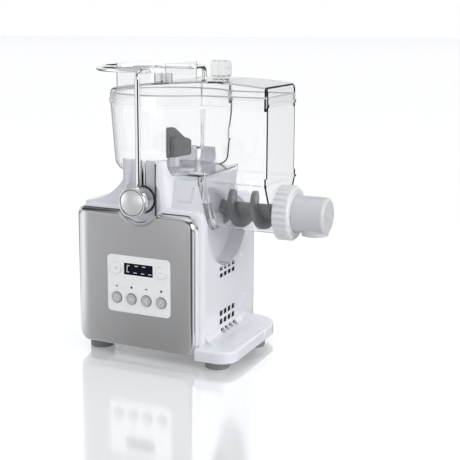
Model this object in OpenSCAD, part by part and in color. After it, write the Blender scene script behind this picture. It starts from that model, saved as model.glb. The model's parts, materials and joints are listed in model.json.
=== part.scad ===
// Electric pasta maker: a mixing bowl with an upright paddle opens into a
// trough with a level screw, which presses the dough through a die under the
// nozzle. One motor turns both through two spur stages and a pair of bevels.
// Axes while building: X = 0 on the paddle's axis, +X towards the nozzle;
// Y = 0 on the front panel's face, +Y to the back; Z = 0 on the table.

/* [Front panel] */
// Width of the stainless front panel
panel_w = 152; // [146:1:154]
// Offset of the panel's middle from the paddle's axis
panel_x = -4; // [-5:0.5:-3]
// Height of the panel's lower edge above the table
panel_bottom = 11; // [9:0.5:12]
// Height of the panel's upper edge above the table
panel_top = 166.2; // [160:0.5:168]
// Corner radius of the panel, seen from the front
panel_corner = 14; // [10:1:18]
// Depth of the panel's wrapped edge
panel_wrap = 8; // [7:0.5:9]
// Radius of the panel's front edge
panel_edge = 3.5; // [2:0.5:5]
// Thickness of the panel's sheet
panel_t = 1.2; // [0.8:0.1:1.6]

/* [Control field] */
// Width of the white control plate
control_w = 80.6; // [78:1:90]
// Height of the white control plate
control_h = 66.5; // [64:1:72]
// Height of the control plate's middle above the table
control_z = 86.8; // [80:1:92]
// Distance between the columns of buttons
column_pitch = 19.1; // [17:0.1:20]
// Radius of a lower button
button_r = 6.5; // [5:0.1:7]
// Radius of the plus and minus buttons
sign_button_r = 6.8; // [6:0.1:7.2]
// Travel of a button
button_travel = 0.8; // [0.5:0.1:1]
// Width of the display window
display_w = 37; // [30:1:38]
// Height of the display window
display_h = 13.5; // [10:0.5:15]

/* [Housing] */
// Depth of the housing from the panel's face to its back wall
body_depth = 164; // [160:1:165]
// Height of the housing's flat top above the table
body_top = 175; // [172:0.5:176]
// Wall of the housing
wall = 2.8; // [2:0.1:3.2]
// Distance from the paddle's axis to the housing's left wall
body_left = 83.5; // [82.5:0.5:85]
// Radius of the housing's rear corners, seen from above
rear_r = 14; // [10:1:20]
// Distance from the paddle's axis to the housing's right wall
right_x = 75.5; // [74:0.5:77]
// Height of the tower that carries the bowl
tower_top = 228; // [222:1:232]
// Distance from the paddle's axis to the tower's right flank
tower_right = 32; // [30:0.5:34]
// Lean of the tower's right flank towards the bowl, in degrees
tower_lean = 5.6; // [0:0.2:7]
// Distance from the paddle's axis to the tower's left flank
tower_left = 31; // [30:0.5:34]
// Radius of the skirt that flares from the tower to the housing's top
skirt_r = 50; // [44:1:52]
// Distance from the paddle's axis to the shoulder's right wall
shoulder_x = 56; // [54:0.5:57]
// Radius of the scoop under the screw's trough
scoop_r = 54; // [52:0.5:55]

/* [Shelf and feet] */
// Reach of the shelf to the right of the paddle's axis
shelf_x = 116; // [108:1:122]
// Height of the shelf's top above the table
shelf_top = 24; // [22:0.5:26]
// Radius of the shelf's front corner
shelf_r = 20; // [14:1:24]
// Radius of the shelf's rear corner
shelf_rear_r = 35; // [28:1:38]
// Radius of a rubber foot
foot_r = 14; // [11:0.5:15]

/* [Vessel] */
// Outer radius of the bowl at its rim
bowl_r = 73; // [71:0.1:74]
// Outer radius of the bowl just above its rounded lower edge
bowl_low_r = 68.3; // [66:0.1:69.5]
// Height of the bowl's underside above the table
bowl_z = 209; // [208.5:0.5:211]
// Height of the seam between vessel and lid above the table
seam_z = 289; // [280:1:296]
// Reach of the vessel to the right of the paddle's axis
hopper_x = 136.6; // [130:1:142]
// Width of the hopper from front to back
hopper_w = 89.4; // [84:0.5:94]
// Height at which the hopper begins to narrow to the trough
hopper_neck_z = 204; // [200:1:207]
// Wall of the vessel and the lid
clear_wall = 2.4; // [2:0.1:3]

/* [Screw and nozzle] */
// Height of the screw's axis above the table
screw_z = 168.5; // [167:0.5:170]
// Outer radius of the trough around the screw
trough_r = 25; // [24:0.5:27]
// Gap between the screw's flight and the trough
screw_gap = 0.7; // [0.5:0.1:1.2]
// Radius of the screw's core
core_r = 8; // [7:0.5:10]
// Distance between two turns of the screw
screw_pitch = 28; // [24:1:34]
// Outer radius of the ring nut, over its ribs
nut_r = 31.5; // [30:0.5:34]
// Length of the ring nut
nut_l = 18.5; // [18:0.5:22]
// Number of ribs round the ring nut
nut_ribs = 26; // [18:1:32]
// Outer radius of the nozzle
nozzle_r = 21; // [20:0.5:22]
// Reach of the nozzle's closed end to the right of the paddle's axis
nozzle_x = 194.4; // [190:1:200]
// Radius of the die under the nozzle
die_r = 12.5; // [10:0.5:13]
// Radius of a hole in the die
die_hole_r = 1.25; // [0.8:0.05:1.5]

/* [Paddle] */
// Reach of the paddle's blade from its axis
paddle_reach = 23.5; // [21.5:1:39.5]
// Height of the paddle's peak above the table
paddle_top = 258; // [250:0.5:264]
// Thickness of the paddle's blade
blade_t = 5; // [4:0.5:7]

/* [Lid] */
// Height of the crown of the domed lid above the seam
lid_h = 26.8; // [24:0.2:28]
// Radius of the lid's dome, seen from the front
dome_r = 600; // [560:10:800]
// Height of the pouring tray's rim above the lid's crown
tray_h = 17.7; // [15.2:0.5:19.2]
// Width of the pouring tray from front to back
tray_w = 89; // [84:1:92]
// Reach of the pouring tray to the left of the paddle's axis
tray_left = 50.5; // [44:0.5:52]
// Reach of the pouring tray to the right of the paddle's axis
tray_right = 13; // [8:1:15]
// Distance from the paddle's axis to the lid's knob
knob_x = 61.7; // [58:0.1:66]
// Radius of the lid's knob, over its ribs
lid_knob_r = 12; // [11:0.5:13]
// Height of the top of the lid's knob above the lid's crown
lid_knob_h = 21.2; // [19:0.2:24]

/* [Bail] */
// Height of the bail's pivots above the table
pivot_z = 184; // [183:0.5:185]
// Diameter of the bail's rod
rod_d = 6; // [5:0.5:7]
// Distance of the bail's front arm behind the panel's face
arm_front = 2; // [1:0.5:3]
// Distance of the bail's rear arm behind the housing's back wall
arm_back = 4; // [3:0.5:6]
// Height of the bail's loop above the lid's crown
loop_rise = 10.2; // [6.2:1:14.2]
// Half the distance between the two long sides of the loop
loop_half = 52; // [52:0.5:54]
// Straight stretch of the loop before its round end
loop_straight = 39.5; // [34:0.5:44]
// Bending radius at the bail's corners
bend_r = 8; // [7:0.5:10]
// Radius of the round knobs on the bail's pivots
knob_r = 17; // [15:0.5:17.5]
// Radius of the hubs that the bail turns on
hub_r = 9; // [8:0.5:10]

/* [Drive] */
// Gear module of the two spur stages
gear_m = 1.5; // [1.4:0.05:1.5]
// Teeth of the two small gears
small_teeth = 12; // [12:1:13]
// Teeth of the two large gears
large_teeth = 40; // [38:1:40]
// Teeth of each bevel gear
bevel_teeth = 16; // [14:1:17]
// Face width of a large gear
gear_face = 10; // [8:1:11]
// Radius of the motor
motor_r = 26; // [22:1:28]
// Length of the motor
motor_l = 60; // [50:1:64]
// Radius of the drive shafts
shaft_r = 4; // [3.5:0.25:4.5]

/* [Hidden] */
$fn = 64;

// clearances, and sizes that only small pieces need
eps = 0.01;
sheet_gap = 0.4;        // between the sheet metal and what it covers
run_gap = 0.05;         // radial gap of a shaft in its bush
free_gap = 0.4;         // between pieces that pass each other
seat_gap = 0.8;         // between the bowl and the tower round it

mid_y = (body_depth + arm_back + arm_front) / 2;    // the middle plane, front to back
arm_y = mid_y - arm_front;
lid_top = seam_z + lid_h;
tray_top = lid_top + tray_h;
loop_z = lid_top + loop_rise;
panel_half = panel_w / 2;
panel_h = panel_top - panel_bottom;
panel_z = (panel_top + panel_bottom) / 2;
inner_half = panel_half - panel_t - sheet_gap;
inner_corner = panel_corner - panel_t - sheet_gap;
inner_front = panel_t + sheet_gap;
main_front = panel_wrap + 0.6;
body_corner = 17;
front_r = 8;
top_edge = 8;
floor_t = 2.5;

shoulder_top = 205;
slope_foot = [18, 168];
slope_head = [34, 207];
post_front = 9.6;
post_r = 16;
channel_half = 16.5;
channel_back = 14;
groove_half = 3;
scoop_y = mid_y - 9;
scoop_z = 157;
seam_x = 38;
seam_low = 182;
seam_high = 197;
fillet_r = 11;
shelf_front = -4.5;
shelf_back = body_depth - 16;
shelf_edge = 3;
notch_r = 24;
notch_rim_r = 29;
gland_x = -40;
gland_z = 34;
foot_screw_r = 1.75;
foot_boss_r = 7;

bowl_edge_r = 14;
concave_r = 12;
hopper_corner = 5;
flange_t = 8;
ledge_h = 4;            // height of the step under the vessel's collar
fillet_drop = 2.5;      // how far the neck's fillets stand inside the bowl's rim
fillet_z = bowl_z + bowl_edge_r + 18;
collar_t = 4.5;
collar_h = 10;
rim_band = 4;
rim_proud = 1.1;
crown_x = 60;
neck_h = 3.7;
tray_front = 47.5;
grille_x = -5;

screw_r = trough_r - clear_wall - screw_gap;
spigot_r = trough_r + 0.6;
spigot_l = 13;
nut_x = hopper_x + 1.2;
nut_lip = 3;
nozzle_bore = nozzle_r - 3.2;
nozzle_flange_x = hopper_x + spigot_l + 0.4;
nozzle_flange_t = 4;
die_x = 178.5;
die_t = 4;
die_boss_r = die_r + 2.6;
die_z = screw_z - nozzle_r - 1.8;

small_r = gear_m * small_teeth / 2;
large_r = gear_m * large_teeth / 2;
axle_gap = small_r + large_r;
lay_z = screw_z - axle_gap;
motor_z = lay_z - axle_gap;
bevel_m = 1.6;
bevel_r = bevel_m * bevel_teeth / 2;
bevel_face = 4.5;
frame_x = 15.6;
frame_t = 2.5;
stage1_x = frame_x + frame_t + 1.5;
stage2_x = stage1_x + gear_face + 3;
frame2_x = stage2_x + gear_face + 2.5;
frame_half = 20;
rotor_r = 3;
motor_boss = 4;
fan_l = 7;
fan_r = 22.5;
fan_hub_r = 8;
fan_x = frame_x - motor_l - motor_boss - 2 - fan_l;
drive_sq = 5.5;         // across the flats of both squared drive ends
screw_key_l = 12;
paddle_key_l = 16;
coupling_h = 14;
paddle_turn = 60;       // how far the paddle stands turned on its shaft
bush_wall = 2.5;
cavity_top = shoulder_top - wall;
cavity_half = 44;
cavity_left = 24;
pin_r = 4;
pin_end = 30;
hub_end = post_front + 2;
pocket_r = 13;

plate_front = -0.7;
plate_back = 2.6;
button_proud = 1.1;
board_y = 9.4;
board_t = 1.6;
key_sw = 6;
key_sw_t = 2;
plate_lip = 1.9;        // how far the control plate's face laps round its window
row_low = control_z - 16.5;
row_led = control_z - 3.2;
row_high = control_z + 18.2;
first_column = -1.5 * column_pitch;
led_r = 1.2;

x_min = -(loop_straight + loop_half + rod_d / 2);
x_max = nozzle_x;
centre_x = (x_min + x_max) / 2;

foot_spots = [
    [-66, 27], [90, 18], [-66, body_depth - 21], [97, shelf_back - 45]
];

white = [0.93, 0.93, 0.95];
steel = [0.66, 0.67, 0.69];
chrome = [0.82, 0.83, 0.85];
clear = [0.86, 0.9, 0.94, 0.35];
grey = [0.45, 0.46, 0.48];
dark = [0.12, 0.13, 0.15];
brass = [0.78, 0.62, 0.32];
iron = [0.5, 0.51, 0.54];
rubber = [0.35, 0.35, 0.36];
key_grey = [0.62, 0.63, 0.65];
board_green = [0.1, 0.35, 0.22];

// ---------------------------------------------------------------- helpers

// moves the building frame to the part's frame: middle of the base
module placed() {
    translate([-centre_x, -mid_y, 0]) children();
}

// extrudes an X-Z outline from y0 back to y1
module along_y(y0, y1) {
    translate([0, y1, 0]) rotate([90, 0, 0]) linear_extrude(y1 - y0) children();
}

// extrudes a Y-Z outline from x0 right to x1
module along_x(x0, x1) {
    translate([x0, 0, 0]) rotate([90, 0, 90]) linear_extrude(x1 - x0) children();
}

// a cylinder along X round the screw's axis
module rod_x(x0, x1, r) {
    translate([x0, mid_y, screw_z]) rotate([0, 90, 0]) cylinder(h = x1 - x0, r = r);
}

// a cylinder along Y
module rod_y(x, z, y0, y1, r) {
    translate([x, y0, z]) rotate([-90, 0, 0]) cylinder(h = y1 - y0, r = r);
}

// repeats at the front and, turned round, at the back
module both_sides() {
    children();
    translate([0, 2 * mid_y, 0]) mirror([0, 1, 0]) children();
}

// a rectangle with four round corners
module soft_rect(x0, x1, y0, y1, r) {
    translate([x0 + r, y0]) square([x1 - x0 - 2 * r, y1 - y0]);
    translate([x0, y0 + r]) square([x1 - x0, y1 - y0 - 2 * r]);
    for (x = [x0 + r, x1 - r], y = [y0 + r, y1 - r]) {
        translate([x, y]) circle(r);
    }
}

// a rectangle whose lower corners and upper corners differ in radius
module mixed_rect(x0, x1, y0, y1, r_low, r_high) {
    polygon([[x0, y0 + r_low], [x0 + r_low, y0], [x1 - r_low, y0], [x1, y0 + r_low],
             [x1, y1 - r_high], [x1 - r_high, y1], [x0 + r_high, y1], [x0, y1 - r_high]]);
    for (x = [x0 + r_low, x1 - r_low]) {
        translate([x, y0 + r_low]) circle(r_low);
    }
    for (x = [x0 + r_high, x1 - r_high]) {
        translate([x, y1 - r_high]) circle(r_high);
    }
}

// half of a plate's section, from its middle out: its face edge is round
module edge_section(half, t, r) {
    square([half - r, t]);
    square([half, t - r]);
    translate([half - r, t - r]) circle(r);
}

// a plate lying on Z = 0: corners of radius rc, upper edge of radius re
module cushion(w, h, t, rc, re) {
    for (x = [-1, 1], y = [-1, 1]) {
        translate([x * (w / 2 - rc), y * (h / 2 - rc), 0]) rotate_extrude() edge_section(rc, t, re);
    }
    for (a = [0, 180]) {
        rotate([0, 0, a]) translate([0, -h / 2 + rc, 0]) rotate([90, 0, 180])
            linear_extrude(h - 2 * rc) edge_section(w / 2, t, re);
        rotate([0, 0, a]) translate([-w / 2 + rc, 0, 0]) rotate([90, 0, 90])
            linear_extrude(w - 2 * rc) edge_section(h / 2, t, re);
    }
}

// the same plate with its round-edged face to the front, at y0
module facing_plate(w, z0, z1, y0, t, rc, re) {
    translate([0, y0 + t, (z0 + z1) / 2]) rotate([90, 0, 0]) cushion(w, z1 - z0, t, rc, re);
}

// gear outline: involute flanks of pressure angle pa, thinned by a backlash
pa = 25;
backlash = 0.16;
flank_steps = 3;
function involute(a) = tan(a) * 180 / PI - a;
function half_angle(r, rp, z) =
    90 / z - backlash / 2 / rp * 180 / PI + involute(pa)
    - involute(acos(min(1, rp * cos(pa) / r)));
function polar(r, a) = [r * cos(a), r * sin(a)];
function gear_points(z, m, phase) =
    let (rp = m * z / 2, root = rp - 1.2 * m, tip = rp + 0.9 * m,
         start = max(root, rp * cos(pa)))
    [for (i = [0 : z - 1]) let (c = phase + i * 360 / z)
        each concat(
            [polar(root, c - half_angle(start, rp, z))],
            [for (k = [0 : flank_steps]) let (r = start + (tip - start) * k / flank_steps)
                polar(r, c - half_angle(r, rp, z))],
            [for (k = [flank_steps : -1 : 0]) let (r = start + (tip - start) * k / flank_steps)
                polar(r, c + half_angle(r, rp, z))],
            [polar(root, c + half_angle(start, rp, z))]
        )];

// a spur gear round the X axis at height z, bored for its shaft
module spur(x0, face, z, teeth, phase, bore) {
    translate([0, mid_y, z]) difference() {
        along_x(x0, x0 + face) polygon(gear_points(teeth, gear_m, phase));
        along_x(x0 - 1, x0 + face + 1) circle(bore);
    }
}

// a straight bevel gear that narrows along +Z from its back at Z = 0
module bevel(phase) {
    linear_extrude(bevel_face, scale = (bevel_r - bevel_face) / bevel_r)
        polygon(gear_points(bevel_teeth, bevel_m, phase));
}

// ---------------------------------------------------------------- housing

module slope_outline(g) {
    // side outline of skirt and shoulder, leaning back, the same at the rear
    lean = (slope_head[0] - slope_foot[0]) / (slope_head[1] - slope_foot[1]);
    low = slope_foot[1] - 40;
    front_low = slope_foot[0] - lean * 40 + g;
    high = tower_top + 10;
    front_high = slope_head[0] + lean * (high - slope_head[1]) + g;
    polygon([
        [front_low, low], [2 * mid_y - front_low, low],
        [2 * mid_y - front_high, high], [front_high, high]
    ]);
}

module main_block(g) {
    intersection() {
        along_y(main_front + g, body_depth - g)
            soft_rect(-body_left + g, right_x - g, panel_bottom - 2 * g,
                      body_top - g, body_corner - g);
        along_x(-panel_w, panel_w)
            soft_rect(main_front + g, body_depth - g, panel_bottom - 40,
                      body_top - g, top_edge - g);
        translate([0, 0, panel_bottom - 2 * g]) linear_extrude(body_top)
            mixed_rect(-body_left + g, right_x - g, main_front + g, body_depth - g,
                       front_r - g, rear_r - g);
    }
}

module front_block(g) {
    // fills the wrapped panel, with a step that clears its rounded edge
    step = panel_edge - panel_t;
    for (s = [step, 0]) {
        i = g + s;
        along_y(inner_front + g + step - s, main_front + 12)
            soft_rect(panel_x - inner_half + i, panel_x + inner_half - i,
                      panel_bottom + panel_t + sheet_gap + i,
                      panel_top - panel_t - sheet_gap - i, inner_corner - i);
    }
}

module skirt() {
    intersection() {
        along_y(main_front, body_depth)
            difference() {
                translate([-tower_left - skirt_r, body_top - top_edge])
                    square([skirt_r + 1, skirt_r + top_edge]);
                translate([-tower_left - skirt_r, body_top + skirt_r]) circle(skirt_r);
            }
        along_x(-panel_w, 0) slope_outline(0);
    }
}

module shoulder() {
    intersection() {
        along_y(main_front, body_depth)
            translate([0, body_top - 20]) square([shoulder_x, shoulder_top - body_top + 20]);
        along_x(0, shoulder_x) slope_outline(0);
    }
}

module tower_block() {
    z0 = panel_top + 0.6;
    h = tower_top - z0;
    w = tower_right + 18;
    translate([0, 0, z0]) linear_extrude(h) difference() {
        soft_rect(-tower_left, tower_right, post_front, 2 * mid_y - post_front, post_r);
        translate([4, 0]) square(2 * mid_y);
    }
    // right flank, leaning in towards the bowl
    intersection() {
        translate([tower_right, 0, z0]) rotate([0, -tower_lean, 0]) translate([-w, 0, -2])
            linear_extrude(h + 10) soft_rect(0, w, post_front, 2 * mid_y - post_front, post_r);
        translate([-w, 0, z0]) cube([2 * w, 2 * mid_y, h]);
    }
}

module scoop(g) {
    along_x(shoulder_x - g, shelf_x)
        union() {
            translate([scoop_y, scoop_z]) circle(scoop_r + g);
            translate([scoop_y - scoop_r - g, scoop_z]) square([2 * (scoop_r + g), tower_top]);
        }
}

module shelf_block() {
    t = shelf_top - panel_bottom;
    x0 = right_x - 4;
    corners = [
        [shelf_front + shelf_r, shelf_r], [shelf_back - shelf_rear_r, shelf_rear_r]
    ];
    translate([0, 0, panel_bottom]) {
        for (c = corners) {
            translate([shelf_x - c[1], c[0], 0]) rotate_extrude() edge_section(c[1], t, shelf_edge);
        }
        along_y(corners[0][0], corners[1][0])
            translate([x0, 0]) edge_section(shelf_x - x0, t, shelf_edge);
        along_x(x0, shelf_x - shelf_r)
            translate([corners[0][0], 0]) mirror([1, 0]) edge_section(shelf_r, t, shelf_edge);
        along_x(x0, shelf_x - shelf_rear_r)
            translate([corners[1][0], 0]) edge_section(shelf_rear_r, t, shelf_edge);
    }
}

module shelf() {
    difference() {
        shelf_block();
        translate([0, shelf_front - 5, 0])
            cube([panel_x + panel_half + sheet_gap, main_front - shelf_front + 5, panel_top]);
    }
    // fillet between the shelf and the right wall
    along_y(main_front + front_r, shelf_back - shelf_rear_r)
        difference() {
            translate([right_x - wall, shelf_top - 4]) square([fillet_r + wall, fillet_r + 4]);
            translate([right_x + fillet_r, shelf_top + fillet_r]) circle(fillet_r);
            translate([right_x + fillet_r, shelf_top + fillet_r]) square(fillet_r);
        }
}

module vent_rows(rows, hole_h) {
    for (z = rows, k = [0 : 3]) {
        translate([right_x - wall - 12, scoop_y - 21.5 + 11 * k, z]) cube([wall + 40, 8, hole_h]);
    }
}

// shut line of a flap in the shoulder's front face
module flap_line() {
    intersection() {
        union() {
            translate([seam_x, 0, seam_low]) cube([shoulder_x, mid_y, 0.8]);
            translate([shoulder_x - 2.5, 0, seam_low]) cube([0.8, mid_y, seam_high - seam_low]);
        }
        along_x(seam_x, shoulder_x - 1.7) difference() {
            translate([0, seam_low]) square([60, seam_high - seam_low]);
            slope_outline(0.7);
        }
    }
    rod_y(shoulder_x - 2.1, seam_high, 0, slope_head[0] - 1, 0.9);
}

module body_shell() {
    color(white) placed() difference() {
        union() {
            main_block(0);
            front_block(0);
            skirt();
            shoulder();
            tower_block();
            shelf();
        }
        // hollow for the works, closed below by the base plate
        difference() {
            union() {
                difference() {
                    main_block(wall);
                    scoop(wall);
                }
                front_block(wall);
                translate([-body_left + wall, main_front + front_r, panel_bottom - 1])
                    cube([body_left + right_x - 2 * wall, body_depth - main_front - front_r - rear_r, 20]);
                translate([-cavity_left, mid_y - cavity_half, panel_bottom + 60])
                    cube([cavity_left + shoulder_x - wall, 2 * cavity_half, cavity_top - panel_bottom - 60]);
            }
            // boss round the paddle's bush, and a wall behind each pivot pocket
            translate([0, mid_y, bowl_z - 24]) cylinder(h = 24, r = shaft_r + bush_wall + 3);
            both_sides() rod_y(0, pivot_z, 0, hub_end + wall, notch_r + wall);
        }
        // hollow shelf, open below, with bosses for its two feet
        difference() {
            translate([right_x - wall - 1, shelf_front + shelf_r, panel_bottom - 1])
                cube([shelf_x - right_x - 4, shelf_back - shelf_front - 2 * shelf_r - 3,
                      shelf_top - panel_bottom + 1 - wall]);
            for (k = [1, 3]) {
                translate([foot_spots[k][0], foot_spots[k][1], 0])
                    cylinder(h = shelf_top, r = foot_boss_r);
            }
        }
        for (k = [1, 3]) {
            translate([foot_spots[k][0], foot_spots[k][1], panel_bottom - 1])
                cylinder(h = 4.5, r = foot_screw_r);
        }
        scoop(0);
        // seat for the bowl
        intersection() {
            bowl_solid(seat_gap);
            translate([-100, 0, bowl_z]) cube([200, 2 * mid_y, tower_top]);
        }
        flap_line();
        // pivot pockets, arm channels and the guide groove in each
        both_sides() {
            rod_y(0, pivot_z, -5, hub_end, notch_r);
            translate([-channel_half, -5, pivot_z])
                cube([2 * channel_half, channel_back + 5, tower_top]);
            translate([-groove_half, -5, pivot_z + pocket_r])
                cube([2 * groove_half, channel_back + 15, tower_top]);
        }
        // pivot bearings
        both_sides() rod_y(0, pivot_z, 0, pin_end + 1, pin_r + run_gap + bush_wall);
        // control field, screw's shaft, paddle's shaft, cord
        translate([-control_w / 2 + plate_lip, -1, control_z - control_h / 2 + plate_lip])
            cube([control_w - 2 * plate_lip, inner_front + wall + 2, control_h - 2 * plate_lip]);
        rod_x(shoulder_x - 3 * wall, shoulder_x + 1, shaft_r + bush_wall);
        translate([0, mid_y, bowl_z - 30]) cylinder(h = 40, r = shaft_r + bush_wall);
        rod_y(gland_x, gland_z, body_depth - 2 * wall, body_depth + 1, 6);
        vent_rows([91, 99], 5);
        vent_rows([35, 45], 6.5);
        vent_rows([25.5], 5);
    }
}

module base_plate() {
    left = -body_left + wall + sheet_gap;
    front = main_front + front_r + sheet_gap;
    back = body_depth - wall - rear_r;
    color(white) placed() difference() {
        union() {
            translate([left, front, panel_bottom])
                cube([right_x - wall - sheet_gap - left, back - front, floor_t]);
            translate([left + rear_r, back - 1, panel_bottom])
                cube([right_x - wall - sheet_gap - left - 2 * rear_r, rear_r + 1 - sheet_gap,
                      floor_t]);
        }
        for (k = [-4 : 4]) {
            translate([10 * k - 1.5, mid_y - 20, panel_bottom - 1]) cube([3, 40, floor_t + 2]);
        }
        for (k = [0, 2]) {
            translate([foot_spots[k][0], foot_spots[k][1], panel_bottom - 1])
                cylinder(h = floor_t + 2, r = foot_screw_r);
        }
    }
}

// ---------------------------------------------------------------- front

module front_panel() {
    color(steel) placed() difference() {
        translate([panel_x, 0, 0])
            facing_plate(panel_w, panel_bottom, panel_top, 0, panel_wrap, panel_corner, panel_edge);
        translate([panel_x, panel_t, 0])
            facing_plate(panel_w - 2 * panel_t, panel_bottom + panel_t, panel_top - panel_t, 0,
                         panel_wrap, panel_corner - panel_t, panel_edge - panel_t);
        rod_y(0, pivot_z, -1, panel_wrap + 1, notch_rim_r);
        translate([0, 0, control_z])
            cube([control_w - 2 * plate_lip, 3 * panel_t, control_h - 2 * plate_lip],
                 center = true);
    }
}

module notch_trim() {
    rim = 1.2;
    color(chrome) placed() intersection() {
        rod_ring(0, pivot_z, -rim, inner_front, notch_rim_r, notch_r);
        translate([-panel_half, -5, 0]) cube([panel_w, 10, panel_top - 0.4]);
    }
}

// a ring round an axis along Y, dished towards its hole
module rod_ring(x, z, y0, y1, r_out, r_in) {
    translate([x, y1, z]) rotate([90, 0, 0]) rotate_extrude()
        polygon([[r_in, 0], [r_out, 0], [r_out, y1 - y0], [r_out - 1, y1 - y0], [r_in, (y1 - y0) / 2]]);
}

module control_plate() {
    color(white) placed() difference() {
        union() {
            facing_plate(control_w, control_z - control_h / 2, control_z + control_h / 2,
                         plate_front, -plate_front, 5, 0.3);
            translate([-control_w / 2 + plate_lip + 0.3, -eps,
                       control_z - control_h / 2 + plate_lip + 0.3])
                cube([control_w - 2 * plate_lip - 0.6, plate_back,
                      control_h - 2 * plate_lip - 0.6]);
        }
        for (k = [0 : 3]) {
            rod_y(button_x(k), row_low, -2, plate_back + 1, button_r + 0.2);
            rod_y(button_x(k), row_led, -2, plate_back + 1, led_r);
        }
        for (k = [0, 3]) {
            rod_y(button_x(k), row_high, -2, plate_back + 1, sign_button_r + 0.2);
        }
        translate([-display_w / 2, -2, row_high - display_h / 2])
            cube([display_w, 2 + plate_back / 2, display_h]);
        translate([-display_w / 2 + 2, -2, row_high - display_h / 2 + 2])
            cube([display_w - 4, 6, display_h - 4]);
    }
}

function button_x(k) = first_column + k * column_pitch + 0.5;

module display_window() {
    color(dark) placed() translate([-display_w / 2, plate_front, row_high - display_h / 2])
        cube([display_w, plate_back / 2 - plate_front, display_h]);
}

module display_module() {
    color(dark) placed() translate([-display_w / 2 + 3, plate_back, row_high - display_h / 2 + 1])
        cube([display_w - 6, board_y - plate_back, display_h - 2]);
}

module led_pipes() {
    color([0.75, 0.8, 0.85]) placed() for (k = [0 : 3]) {
        rod_y(button_x(k), row_led, plate_front - 0.2, board_y, led_r);
    }
}

// a cap with a collar behind the plate and a stem that meets its switch
module button(x, z, r) {
    color(key_grey) placed() {
        rod_y(x, z, plate_front - button_proud + 0.4, plate_back + 0.5, r);
        rod_y(x, z, plate_front - button_proud, plate_back, r - 0.6);
        rod_y(x, z, plate_back + 0.1, plate_back + 1.2, r + 1.2);
        rod_y(x, z, plate_back + 1, board_y - key_sw_t - 0.2 - button_travel, 2);
    }
}
module button_minus() { button(button_x(3), row_high, sign_button_r); }
module button_plus() { button(button_x(0), row_high, sign_button_r); }
module button_start() { button(button_x(0), row_low, button_r); }
module button_mix() { button(button_x(1), row_low, button_r); }
module button_extrude() { button(button_x(2), row_low, button_r); }
module button_stop() { button(button_x(3), row_low, button_r); }

module control_board() {
    w = control_w + 2;
    h = control_h + 2;
    color(board_green) placed() {
        translate([-w / 2, board_y, control_z - h / 2]) cube([w, board_t, h]);
        // stand-offs that hold the board on the housing's front wall
        for (x = [-1, 1], z = [-1, 1]) {
            rod_y(x * (w / 2 - 1.4), control_z + z * (h / 2 - 1.4),
                  inner_front + wall, board_y, 1);
        }
    }
}

module key_switches() {
    spots = [
        [button_x(0), row_high], [button_x(3), row_high], [button_x(0), row_low],
        [button_x(1), row_low], [button_x(2), row_low], [button_x(3), row_low]
    ];
    color(dark) placed() for (p = spots) {
        translate([p[0] - key_sw / 2, board_y - key_sw_t, p[1] - key_sw / 2])
            cube([key_sw, key_sw_t, key_sw]);
    }
}

// ---------------------------------------------------------------- base

module feet() {
    color(rubber) placed() for (p = foot_spots) {
        translate([p[0], p[1], 0]) rotate_extrude() difference() {
            union() {
                translate([0, 1]) square([foot_r, panel_bottom - 1]);
                square([foot_r - 1, 2]);
                translate([foot_r - 1, 1]) circle(1);
            }
            translate([-5, -5]) square([5 + foot_screw_r, panel_bottom + 10]);
            translate([0, -1]) square([4, 5]);
        }
    }
}

module base_screws() {
    color(iron) placed() for (p = foot_spots) {
        translate([p[0], p[1], 1.5]) cylinder(h = panel_bottom + 1, r = foot_screw_r);
        translate([p[0], p[1], 1.5]) cylinder(h = 2.5, r = 3.4);
    }
}

module cord_gland() {
    color(dark) placed() difference() {
        union() {
            rod_y(gland_x, gland_z, body_depth - wall, body_depth + 1, 6);
            rod_y(gland_x, gland_z, body_depth, body_depth + 2, 9);
            translate([gland_x, body_depth + 2, gland_z]) rotate([-90, 0, 0])
                cylinder(h = 12, r1 = 6, r2 = 4.6);
        }
        rod_y(gland_x, gland_z, body_depth - wall - 1, body_depth + 20, 3.4);
    }
}

// ---------------------------------------------------------------- drive

module motor_can() {
    color(iron) placed() translate([0, 0, motor_z - screw_z]) difference() {
        union() {
            rod_x(frame_x - motor_l, frame_x, motor_r);
            rod_x(frame_x - motor_l - motor_boss, frame_x - motor_l, 9);
        }
        rod_x(frame_x - motor_l - motor_boss - 1, frame_x + 1, rotor_r + run_gap);
        for (a = [0 : 45 : 315]) {
            translate([frame_x - motor_l - 1, mid_y, screw_z]) rotate([a, 0, 0])
                translate([0, motor_r * 0.62, -2.5]) cube([8, motor_r * 0.22, 5]);
        }
    }
}

module motor_saddle() {
    x0 = frame_x - motor_l + 8;
    color(dark) placed() difference() {
        translate([x0, mid_y - motor_r * 0.8, panel_bottom + floor_t])
            cube([motor_l - 16, motor_r * 1.6, motor_z - motor_r * 0.5 - panel_bottom - floor_t]);
        translate([0, 0, motor_z - screw_z]) rod_x(x0 - 1, x0 + motor_l, motor_r);
        translate([x0 - 1, mid_y - motor_r * 0.8 + 5, panel_bottom + floor_t + 6])
            cube([motor_l, motor_r * 1.6 - 10, motor_z - motor_r - panel_bottom - floor_t - 14]);
    }
}

module rotor_shaft() {
    color(iron) placed() translate([0, 0, motor_z - screw_z])
        rod_x(fan_x - 1, stage1_x + gear_face, rotor_r);
}

module motor_pinion() {
    color(brass) placed()
        spur(stage1_x, gear_face, motor_z, small_teeth, 90, rotor_r);
}

module cooling_fan() {
    root = fan_hub_r - 2.5;
    color(dark) placed() translate([fan_x, mid_y, motor_z]) difference() {
        union() {
            rotate([0, 90, 0]) cylinder(h = fan_l, r = fan_hub_r);
            for (a = [0 : 45 : 315]) {
                rotate([a, 0, 0]) translate([fan_l / 2, (fan_r + root) / 2, 0])
                    rotate([0, 35, 0]) cube([1.4, fan_r - root, 8], center = true);
            }
        }
        rotate([0, 90, 0]) translate([0, 0, -1]) cylinder(h = fan_l + 2, r = rotor_r);
    }
}

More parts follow.
